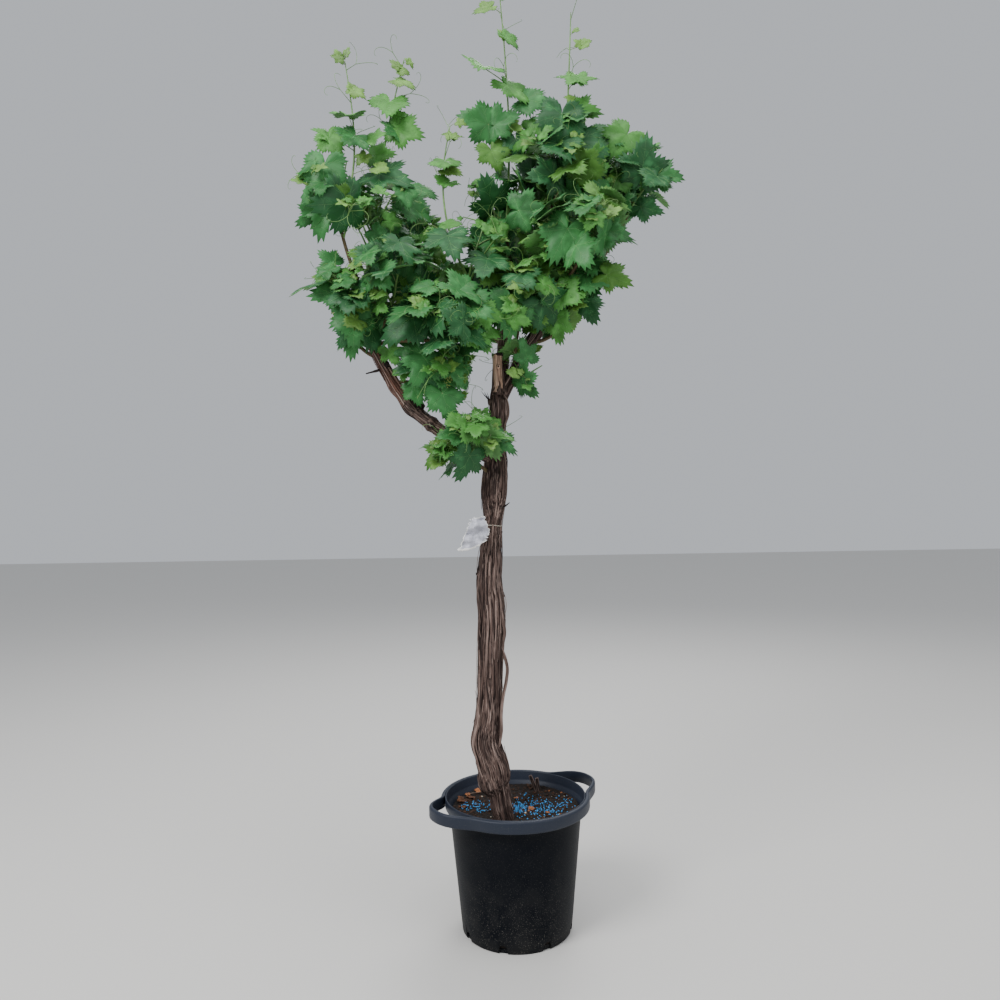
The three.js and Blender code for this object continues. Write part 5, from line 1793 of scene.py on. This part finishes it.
class VINE_OT_compost(Operator):
    """Make the compost, its granules, crumbs and dry leaves, and the old stump"""

    bl_idname = "vine.compost"
    bl_label = "Compost"

    def execute(self, context):
        settings = context.scene.vine_compost
        bark = context.scene.vine_bark
        soil = plain_material("Compost", settings.soil, 0.45, 130, 0.95, 2.2 * MM)
        self.make_body(soil)
        granule = plain_material("Granules", settings.granule, 0.7, 60, 0.55)
        brown_soil = mix_colour(darker(settings.litter, 0.3), tuple(settings.soil), 0.55)
        crumb = plain_material("Crumbs", brown_soil, darker(settings.soil, 0.7), 90, 0.9)
        litter = plain_material("Dry litter", settings.litter, 0.5, 90, 0.8)
        browns = [darker(settings.litter, share) for share in (0.34, 0.15)]
        brown = plain_material("Brown litter", *browns, 90, 0.8)
        pale = plain_material("Pale grit", linear(196, 186, 166), linear(150, 138, 120), 90, 0.8)
        twig = plain_material("Dead twig", linear(124, 104, 92), linear(72, 58, 50), 120, 0.85)
        # The stump's bark is lighter than the trunk's, a share of the way to the pale fibres: painted
        # light, which makes up for the shade that falls on the stump in the pot
        painted_light_bark = mix_colour(bark.middle, bark.fibre, 0.3)
        old = bark_material("Stump bark", tuple(bark.dark), painted_light_bark, tuple(bark.fibre), 0.9)
        self.scatter_granules(settings.granules, granule)
        self.scatter_crumbs(settings.chips, [crumb, litter, pale])
        self.lay_leaves([litter, brown, twig])
        self.make_stump(old)
        return {"FINISHED"}

    @staticmethod
    def surface(x, y):
        """Height of the compost at a place, in metres."""
        far = hypot(x, y) / (COMPOST_RADIUS * MM)
        mound = COMPOST_MOUND * MM * max(0.0, 1 - far * far)
        rough = 0.0
        for height, lumps, seed in COMPOST_LUMPS:
            rough += height * MM * noise.noise(Vector((x * lumps, y * lumps, seed)))
        bank = COMPOST_BANK * MM * far**4
        return COMPOST_HEIGHT * MM + mound + bank + rough * min(1.0, max(0.2, 1.25 - far * 0.6))

    def make_body(self, soil):
        shape = Shape()
        edge = POT_LEDGE_RADIUS - POT_WALL - 1.6
        turns = [FULL_TURN * k / COMPOST_SIDES for k in range(COMPOST_SIDES)]
        points = []
        for i in range(COMPOST_RINGS + 1):
            lift = -4 * MM if i == COMPOST_RINGS else 0
            for turn in turns:
                at = polar(max(0.01, edge * i / COMPOST_RINGS), turn, 0)
                points.append(self.on_surface(at.x, at.y, lift))
        for radius in (POT_BASE_RADIUS - 5.5, 0.01):
            points += [polar(radius, turn, 12) for turn in turns]
        shape.add(points, ring_faces(COMPOST_RINGS + 3, COMPOST_SIDES))
        make_piece("compost_fill", shape, [soil], "compost", ["compost"])

    def on_surface(self, x, y, lift):
        return Vector((x, y, self.surface(x, y) + lift))

    def scatter_granules(self, count, material, seed=61):
        """Most granules lie in heaps beside the trunk, and the rest all over."""
        shape = Shape()
        for i in range(count):
            pick = draw(seed, i, 1)
            centre, size = (0, 0), COMPOST_RADIUS
            for place, width, share in GRANULE_HEAPS:
                if pick < share:
                    centre, size = place, width
                    break
                pick -= share
            turn = FULL_TURN * draw(seed, i, 2)
            close = 0.5 if size == COMPOST_RADIUS else 0.7
            far = size * sqrt(-log(1 - 0.98 * draw(seed, i, 3))) * close
            x = (centre[0] + far * cos(turn)) * MM
            y = (centre[1] + far * sin(turn)) * MM
            if hypot(x, y) > GRANULE_REACH * MM:
                continue
            at = self.on_surface(x, y, 1.1 * MM)
            if clear_of_limbs(at, 1 * MM):
                shape.ball(at, (1.4 + 0.6 * draw(seed, i, 4)) * MM, rough=0.08, seed=i)
        make_piece("fertiliser_granules", shape, [material], "compost")

    def scatter_crumbs(self, count, materials, seed=62):
        shape = Shape()
        for i in range(count):
            turn = FULL_TURN * draw(seed, i, 1)
            far = CRUMB_REACH * sqrt(draw(seed, i, 2)) * MM
            at = self.on_surface(far * cos(turn), far * sin(turn), 0.5 * MM)
            if not clear_of_limbs(at, 2 * MM):
                continue
            pick = draw(seed, i, 3)
            slot = CRUMB if pick < CRUMB_DRAWS[0] else LITTER_CRUMB if pick < CRUMB_DRAWS[1] else GRIT
            size = (1.4 + 4.2 * draw(seed, i, 4) ** 2) * MM * (0.7 if slot else 1)
            shape.ball(at, size, slot, squash=0.6, rough=0.35, seed=i)
        make_piece("compost_crumbs", shape, materials, "compost", smooth=False)

    def lay_leaves(self, materials, seed=63):
        """Dry leaves and a thin twig on the compost."""
        shape = Shape()
        for i, (x, y, size, turn) in enumerate(DRY_LEAVES):
            along = bearing(turn, 0.12).normalized()
            tilt = Vector((0.5 * spread(seed, i, 1), 0.5 * spread(seed, i, 2), 1))
            normal = square_to(tilt, along)
            base = self.on_surface(x * MM, y * MM, 4 * MM)
            leaf = new_leaf(base, along, normal, size * MM, 1.6, seed * 10 + 3 * i)
            kind = LITTER if size < BROWN_WIDTH else BROWN_LITTER
            add_blade(shape, leaf, 0.6 * MM, (kind, kind, BROWN_LITTER), small=True)
        twig = [(self.on_surface(x * MM, y * MM, 5 * MM), TWIG_RADIUS * MM) for x, y in TWIG_PATH]
        shape.tube(twig, 6, DEAD_TWIG)
        make_piece("dry_leaves", shape, materials, "compost")

    def make_stump(self, material):
        shape = Shape()
        x, y = STUMP_PLACE
        for i, (lean, top, wide) in enumerate(STUMP_PRONGS):
            rows = [
                (x, y, COMPOST_HEIGHT - STUMP_DEPTH, wide),
                (x - lean * 0.4, y, COMPOST_HEIGHT + STUMP_FORK, wide * 0.9),
                (x - lean, y, COMPOST_HEIGHT + top, wide * 0.6),
            ]
            shape.bark(smooth_stations(rows, 2 * MM), 40, 1.6 * MM, seed=5 + 3 * i)
        make_piece("stump_bark", shape, [material], "bark", ["root_stump"])


class VINE_OT_bark(Operator):
    """Make the furrowed bark of the trunk and the arms"""

    bl_idname = "vine.bark"
    bl_label = "Bark"

    def execute(self, context):
        settings = context.scene.vine_bark
        dark, middle, fibre = tuple(settings.dark), tuple(settings.middle), tuple(settings.fibre)
        red, cut = tuple(settings.red), tuple(settings.cut)
        bark = bark_material("Trunk bark", dark, middle, fibre, 0.85)
        pale = mix_colour(middle, fibre, 0.45)
        strip = bark_material("Loose bark", darker(middle, 0.7), pale, fibre, 1.0)
        young = bark_material("Young bark", darker(red, 0.45), red, fibre, 0.5)
        # The cut wood's pale threads are partly its pale grain, partly painted highlights, and its dark
        # share in the grooves is partly painted shade
        wood = bark_material("Cut wood", darker(cut, 0.42), cut, linear(226, 202, 184), 0.9)
        rim = bark_material("Dark rim", darker(dark, 0.7), dark, middle, 0.4)
        self.make_trunk(settings, [bark, strip, rim])
        for i, (name, strips) in enumerate(ARM_STRIPS.items()):
            own = young if name == "left_arm_upper" else bark
            self.make_arm(name, [own, strip, rim], strips, settings.furrow * 0.6, 20 + i)
        self.make_stub([wood, rim, bark], settings.furrow)
        return {"FINISHED"}

    def make_trunk(self, settings, materials):
        shape = Shape()
        spacing = 3 * MM
        stations = smooth_stations(LIMBS["trunk"], spacing)
        shape.bark(stations, 176, settings.furrow, seed=3.0, ends=0.0)
        slots = [BARK, LOOSE_BARK, LOOSE_BARK]
        peeling_strips(shape, stations, settings.strips, spacing, slots, seed=71)
        burr = smooth_stations(GRAFT_BURR, 2 * MM)
        shape.bark(burr, 120, settings.furrow, seed=3.6, ends=0.0)
        for points, wide in STRANDS:
            self.hang_strand(shape, points, wide)
        self.add_snags(shape, stations)
        make_piece("trunk_bark", shape, materials, "bark", ["trunk"])

    def hang_strand(self, shape, points, wide):
        """A loose strand of bark through (x, y, z) points, off the trunk between its thin ends."""
        last = len(points) - 1
        rows = [(*point, wide * (0.55 if i in (0, last) else 1)) for i, point in enumerate(points)]
        stations = smooth_stations(rows, 4 * MM)
        shape.bark(stations, 14, 1.2 * MM, seed=9 + wide, twist=4.0, slot=LOOSE_BARK)

    def add_snags(self, shape, stations, seed=85):
        """Snapped twigs, splinters and loose bark that stand out at the trunk's edges."""
        crest = bark_spot(stations, 1370, (-0.97, -0.25, 0))
        shape.ball(crest + Vector((1, 0, 0)) * MM, 8 * MM, BARK, 1.4, 0.2, seed=6)
        across = Vector((0.4, -0.9, 0)).normalized()
        for x, z in ((-73, 1399), (-65, 1397), (-57, 1395)):
            foot = crest + Vector((0, -1, 2)) * MM
            way = Vector((x * MM, foot.y, z * MM)) - foot
            run = way.normalized()
            add_splinter(shape, foot, run, across, way.length, 4 * MM, 3 * MM, DARK_BARK)
        flap = bark_spot(stations, 1374, (0.75, -0.66, 0))
        add_flap(shape, flap, flap + Vector((2, -5, -58)) * MM, (0.7, 0.7, 0), 8 * MM, 2 * MM)
        twig = bark_spot(stations, 1097, (0.8, -0.6, 0)) - Vector((2, 0, 0)) * MM
        add_twiglet(shape, twig, Vector((0.9, -0.15, 0.42)), 26 * MM, 2.2 * MM, DARK_BARK, seed=84)
        edge = bark_spot(stations, 926, (-0.95, -0.3, 0))
        for i in range(4):
            place = edge + Vector((-1.5 + 2 * spread(seed, i, 1), 0, 5 * spread(seed, i, 2))) * MM
            shape.ball(place, (2.4 + 1.6 * draw(seed, i, 3)) * MM, i % 3, 1.3, 0.3, seed=i)
        edge = bark_spot(stations, 896, (-0.95, -0.3, 0))
        sunk = bark_spot(stations, 856, (-0.95, -0.3, 0)) - Vector((3, 0, 0)) * MM
        add_flap(shape, edge, sunk, (0.3, -1, 0), 5 * MM, 3 * MM)

    def make_arm(self, name, materials, strips, depth, seed):
        shape = Shape()
        spacing = 3.5 * MM
        stations = smooth_stations(ARM_FEET.get(name, []) + LIMBS[name], spacing)
        shape.bark(stations, 96, depth, seed=seed * 1.7, twist=1.2)
        peeling_strips(shape, stations, strips, spacing, [BARK, LOOSE_BARK], seed)
        slot = "bark"
        if name == "left_arm_lower":
            self.add_bend(shape, stations, depth)
        if name == "left_arm_upper":
            slot = "red_bark"
            place, _ = along_limb(name, 0.42)
            run = Vector((-1, -0.1, -0.25))
            add_twiglet(shape, place, run, 52 * MM, 3.2 * MM, DARK_BARK, seed=91)
            shape.ball(place + Vector((2, -10, 8)) * MM, 9 * MM, DARK_BARK, 1.3, 0.15, seed=4)
        make_piece(name + "_bark", shape, materials, slot, [name])

    def add_bend(self, shape, stations, depth):
        """The lower left arm's knot at its bend, the broken side shoot on it, and the ring below."""
        place, _ = along_limb("left_arm_lower", 0.97)
        place += UP * (10 * MM)
        add_twiglet(shape, place, Vector((0.7, -0.2, 0.75)), 26 * MM, 7 * MM, DARK_BARK, seed=90)
        knot = smooth_stations(ARM_KNOT, 2 * MM)
        shape.bark(knot, 90, depth * 1.3, seed=44.0, ends=0.0)
        knob = smooth_stations(ARM_KNOB, 2 * MM)
        shape.bark(knob, 48, depth * 1.5, seed=46.0, slot=DARK_BARK)
        start, end = (round(len(stations) * share) for share in ARM_RING)
        last = end - start
        for steps, rise, slot in ((last, ARM_RING_RISE, BARK), (2, ARM_RING_RISE * 0.6, DARK_BARK)):
            ring = [
                (at, wide + rise * MM * sin(pi * max(0.15, min(0.85, i / last))))
                for i, (at, wide) in enumerate(stations[start:start + steps + 1])
            ]
            shape.bark(ring, 80, depth, seed=41.0, slot=slot)

    def make_stub(self, materials, depth, seed=87):
        """The sawn stub: pale wood, a dark ragged rim of bark round its cut, and an oval knot."""
        shape = Shape()
        rows = [(*row[:3], row[3] * wide) for row, wide in zip(self.stub_rows(), STUB_FLARE)]
        stations = smooth_stations(rows, 2.5 * MM)
        shape.bark(stations, 80, depth * 0.35, seed=12.0, twist=0.5, ends=0.0)
        top, radius = stations[-1]
        points = []
        for reach, low, share in STUB_RIM:
            for k in range(STUB_RIM_SIDES):
                way = bearing(FULL_TURN * k / STUB_RIM_SIDES)
                ragged = noise.noise(Vector((way.x * 3, way.y * 3, 2)))
                side = way * (radius * reach * (1 + 0.05 * ragged))
                points.append(top + side - UP * ((low - 2.5 * share * ragged) * MM))
        shape.add(points, ring_faces(len(STUB_RIM), STUB_RIM_SIDES), CUT_RIM)
        face = [(top - UP * MM, radius * 0.92), (top - UP * (0.2 * MM), radius * 0.9)]
        shape.tube(face, 48, CUT_WOOD)
        foot, wide = stations[0]
        for i in range(STUB_SPLINTERS):
            way = bearing(FULL_TURN * (i + 0.6 * draw(seed, i, 1)) / STUB_SPLINTERS)
            start = foot + way * (wide + 1.5 * MM) - UP * (8 * MM)
            run = (UP + way * (0.06 * spread(seed, i, 2) - 0.14)).normalized()
            tall = (14 + 22 * draw(seed, i, 3)) * MM
            add_splinter(shape, start, run, way.cross(UP), tall, 6 * MM, 3 * MM, CUT_BARK)
        for half_turns, tall in STUB_SLIVERS:
            way = bearing(pi * half_turns)
            start = foot + way * (wide - 2 * MM)
            run = (Vector((-2, -4, 97)) * MM - way * (0.35 * wide)).normalized()
            add_splinter(shape, start, run, way.cross(UP), tall * MM, 5 * MM, 4 * MM, CUT_BARK)
        knot = Vector(STUB_KNOT) * MM
        for size, slot, out in ((6.0, CUT_WOOD, 0.0), (2.4, CUT_RIM, 4.4)):
            shape.ball(knot - Vector((0, out * MM, 0)), size * MM, slot, 1.25, 0.1, seed=5)
        make_piece("trunk_stub_wood", shape, materials, "cut_wood", ["trunk_stub"])

    def stub_rows(self):
        """Places and radii up the stub, one for each number in STUB_FLARE."""
        low, high = LIMBS["trunk_stub"]
        last = len(STUB_FLARE) - 1
        return [[a + (b - a) * i / last for a, b in zip(low, high)] for i in range(last + 1)]


class VINE_OT_foliage(Operator):
    """Grow the shoots, leaves, tendrils and flowers of every mass"""

    bl_idname = "vine.foliage"
    bl_label = "Foliage"

    def execute(self, context):
        settings = context.scene.vine_leaves
        greens = [
            leaf_material("Deep leaf", settings.deep),
            leaf_material("Mature leaf", settings.mature),
            leaf_material("Fresh leaf", settings.fresh),
            leaf_material("Young leaf", settings.young, 0.4),
            leaf_material("Leaf underside", settings.underside, 0.25),
            leaf_material("Young underside", mix_colour(settings.underside, settings.young, 0.6), 0.25),
            leaf_material("Leaf vein", settings.vein, 0.4),
            leaf_material("Olive leaf", settings.olive),
        ]
        twigs = [
            leaf_material("Green shoot", settings.shoot, 0.5),
            plain_material("Cane", settings.cane, 0.6, 120, 0.7),
            leaf_material("Leaf stalk", mix_colour(settings.vein, linear(150, 96, 78), 0.25), 0.45),
            leaf_material("Flower buds", linear(156, 176, 92), 0.4),
        ]
        grown = [(m, *mass_shoots(m)) for m in MASSES]
        kept = []
        flowers = Shape()
        thick = settings.blade_thickness
        grown = [
            (m, stem, shoots, [shoot_leaves(m, shoot, i, kept) for i, shoot in enumerate(shoots)])
            for m, stem, shoots in grown
        ]
        for m, stem, shoots, leafage in grown:
            blades = Shape()
            canes = Shape()
            add_cane(canes, stem, 18, 5.2 * MM, 4.0 * MM, 10, CANE)
            for index, (shoot, leaves) in enumerate(zip(shoots, leafage)):
                if shoot["bound"]:
                    if m["name"] not in FRESH_MASSES:
                        leaves = leaves + small_leaves(m, shoot, index, kept)
                    leaves += tip_leaves(m, shoot, index)
                self.grow_shoot(m, shoot, index, leaves, blades, canes, thick)
            for leaf, green in single_leaves(m, shoots):
                add_stalk(canes, leaf, STALK)
                add_blade(blades, leaf, thick, self.blade_slots(green), leaf["width"] < SMALL_WIDTH)
            if m["name"] in FLOWERS:
                add_flowers(flowers, *flower_place(m, shoots), m["seed"])
            node = m["name"] + "_leaves"
            slot = frame_slot(node)
            make_piece(m["name"] + "_blades", blades, greens, slot, [node])
            make_piece(m["name"] + "_canes", canes, twigs, slot)
        make_piece("flower_clusters", flowers, twigs, "young_foliage")
        return {"FINISHED"}

    def grow_shoot(self, m, shoot, index, leaves, blades, canes, thick):
        """A shoot with its knots, the leaves on their stalks, and tendrils opposite some of them."""
        wide = 3.0 * MM if shoot["bound"] else 3.4 * MM
        knots = [leaf["share"] for leaf in leaves]
        steps = 16 if shoot["bound"] else 40
        add_cane(canes, shoot["path"], steps, wide, 1.3 * MM, 8, SHOOT, knots)
        for order, leaf in enumerate(leaves):
            add_stalk(canes, leaf, STALK)
            leaf = {**leaf, "width": leaf["width"] * LEAF_TRIM}
            small = leaf["width"] < SMALL_WIDTH
            slots = self.blade_slots(self.leaf_green(m, leaf))
            add_blade(blades, leaf, thick * (0.7 if small else 1), slots, small)
            if (order + index) % 4 == 1:
                self.add_curl(canes, shoot, leaf)
        if not shoot["bound"]:
            for order in range(3):
                share = 0.55 + 0.2 * order
                root = curve_point(shoot["path"], share)
                lean = bearing(pi * order + shoot["turn"], 0.3).normalized()
                place = {"share": share, "root": root, "lean": lean, "seed": m["seed"] + order}
                self.add_curl(canes, shoot, place)

    def leaf_green(self, m, leaf):
        """The slot of a leaf's green: older leaves are deeper, and some let light through."""
        fresh = m["name"] in FRESH_MASSES
        age = leaf["share"] + 0.5 * spread(leaf["seed"], 2, 1) + (0.4 if fresh else 0)
        if leaf["width"] < YOUNG_WIDTH and not fresh:
            age += 0.3
        if OLIVE_AGES[0] < age < OLIVE_AGES[1] and draw(leaf["seed"], 2, 2) < OLIVE_SHARE:
            return OLIVE
        return (DEEP, MATURE, FRESH, YOUNG)[sum(age >= limit for limit in GREEN_AGES)]

    def blade_slots(self, upper):
        """The slots of a blade's upper face, lower face and veins."""
        return upper, YOUNG_UNDERSIDE if upper == YOUNG else UNDERSIDE, VEIN

    def add_curl(self, canes, shoot, leaf):
        """A tendril opposite a leaf, where it stays in the model's box."""
        run = curve_run(shoot["path"], leaf["share"])
        size = (30 + 22 * draw(leaf["seed"], 3, 1)) * MM
        away = -square_to(leaf["lean"], run)
        if inside_box(leaf["root"] + away * (size * 2.4)):
            add_tendril(canes, leaf["root"], run, away, size, SHOOT, leaf["seed"])


def frame_slot(node):
    """The record's material slot of a node."""
    for part in frame["record"]["subparts"]:
        if part["node"] == node:
            return part["material_slot"]
    raise RuntimeError("the record has no node named " + node)


class VINE_OT_label(Operator):
    """Make the blank crumpled label and the string that ties it on"""

    bl_idname = "vine.label"
    bl_label = "Label"

    def execute(self, context):
        settings = context.scene.vine_label
        # The sheet's colour drifts in patches to a darker share of itself: painted shade of the creases,
        # and a stand-in for the print that is left off
        sheet = plain_material("Label sheet", settings.sheet, 0.66, 70, 0.4, 0.6 * MM)
        margin = plain_material("Label edge", settings.margin, 0.9, 40, 0.5, 0.2 * MM)
        string = plain_material("String", linear(196, 190, 176), linear(150, 142, 128), 300, 0.8)
        shape = Shape()
        columns, rows = LABEL_COLUMNS, LABEL_ROWS
        shape.points = [
            self.sheet_point(i / columns, j / rows, settings.crumple, back)
            for back in (0, LABEL_THICKNESS * MM)
            for j in range(rows + 1)
            for i in range(columns + 1)
        ]
        wide = columns + 1
        layer = wide * (rows + 1)
        faces = ring_faces(rows + 1, wide, closed=False)
        back = [tuple(layer + k for k in face[::-1]) for face in faces]
        rim = list(range(wide)) + [columns + j * wide for j in range(1, rows + 1)]
        rim += [rows * wide + i for i in range(columns - 1, -1, -1)]
        rim += [j * wide for j in range(rows - 1, 0, -1)]
        edge = [(a, b, b + layer, a + layer)[::-1] for a, b in zip(rim, rim[1:] + rim[:1])]
        kinds = []
        for j in range(rows):
            for i in range(columns):
                clear = i in (0, columns - 1) or j in (0, 1, rows - 1)
                kinds.append(MARGIN if clear else SHEET)
        shape.faces = faces + back + edge
        shape.slots = kinds + kinds + [MARGIN] * len(edge)
        at, radius = station_at(smooth_stations(LIMBS["trunk"], 4 * MM), TIE_HEIGHT)
        reach = radius + TIE_GAP * MM
        loop = []
        for k in range(49):
            turn = FULL_TURN * k / 48
            way = bearing(turn, -0.06 * cos(turn) + 0.03 * sin(3 * turn))
            loop.append((at + way * reach, STRING_RADIUS * MM))
        shape.tube(loop, 6, STRING)
        knot = at + Vector((-0.72, -0.7, 0.03)) * reach
        hole = self.sheet_point(0.7, 0.86, settings.crumple, 0)
        shape.ball(knot, 2.6 * MM, STRING, 0.8, 0.2, seed=3)
        for sag in (0.0, 5.0):
            path = [knot, mix(knot, hole, 0.5) - UP * (sag * MM) + FRONT * (2 * MM), hole]
            shape.tube([(p, 0.9 * MM) for p in path], 5, STRING)
        make_piece("blank_label", shape, [sheet, string, margin], "label_sheet", ["plant_label"])
        return {"FINISHED"}

    def side_point(self, side, up):
        """A point on one side of the sheet's outline, as x and z in millimetres."""
        place = up * (len(side) - 1)
        i = min(int(place), len(side) - 2)
        return [a + (b - a) * (place - i) for a, b in zip(side[i], side[i + 1])]

    def sheet_point(self, across, up, crumple, back, seed=51):
        """A point of the crumpled sheet, from shares across and up it."""
        left = self.side_point(LABEL_LEFT, up)
        right = self.side_point(LABEL_RIGHT, up)
        x = left[0] + (right[0] - left[0]) * across
        z = left[1] + (right[1] - left[1]) * across
        z -= 9 * (1 - up) ** 2 * sin(pi * across)
        x += 8 * noise.noise(Vector((across, up * 13, 2))) * abs(2 * across - 1) ** 4
        z += 7 * noise.noise(Vector((across * 11, up, 8))) * abs(2 * up - 1) ** 4
        height = 0.0
        for i in range(LABEL_FOLDS):
            turn = pi * draw(seed, i, 1)
            along = (x * cos(turn) + z * sin(turn)) * (0.016 + 0.03 * draw(seed, i, 2))
            height += abs((along + draw(seed, i, 3)) % 1 - 0.5) - 0.25
        return Vector((x * MM, LABEL_Y * MM + crumple * height + back, z * MM))


class VINE_PT_panel(Panel):
    """Lists the vine's settings and its steps"""

    bl_label = "Potted Grapevine"
    bl_idname = "VINE_PT_panel"
    bl_space_type = "VIEW_3D"
    bl_region_type = "UI"
    bl_category = "Vine"

    def draw(self, context):
        for group, _, step in STEPS:
            box = self.layout.box()
            box.operator(step.bl_idname)
            settings = getattr(context.scene, group)
            for name in settings.__annotations__:
                box.prop(settings, name)


STEPS = [
    ("vine_stage", VineStageSettings, VINE_OT_stage),
    ("vine_pot", VinePotSettings, VINE_OT_pot),
    ("vine_compost", VineCompostSettings, VINE_OT_compost),
    ("vine_bark", VineBarkSettings, VINE_OT_bark),
    ("vine_leaves", VineLeafSettings, VINE_OT_foliage),
    ("vine_label", VineLabelSettings, VINE_OT_label),
]
CLASSES = [settings for _, settings, _ in STEPS] + [step for _, _, step in STEPS] + [VINE_PT_panel]


def register():
    for item in CLASSES:
        bpy.utils.register_class(item)
    for name, settings, _ in STEPS:
        setattr(bpy.types.Scene, name, PointerProperty(type=settings))


def unregister():
    for name, _, _ in STEPS:
        delattr(bpy.types.Scene, name)
    for item in reversed(CLASSES):
        bpy.utils.unregister_class(item)


def main():
    register()
    bpy.ops.vine.stage()
    bpy.ops.vine.pot()
    bpy.ops.vine.compost()
    bpy.ops.vine.bark()
    bpy.ops.vine.foliage()
    bpy.ops.vine.label()


if __name__ == "__main__":
    main()
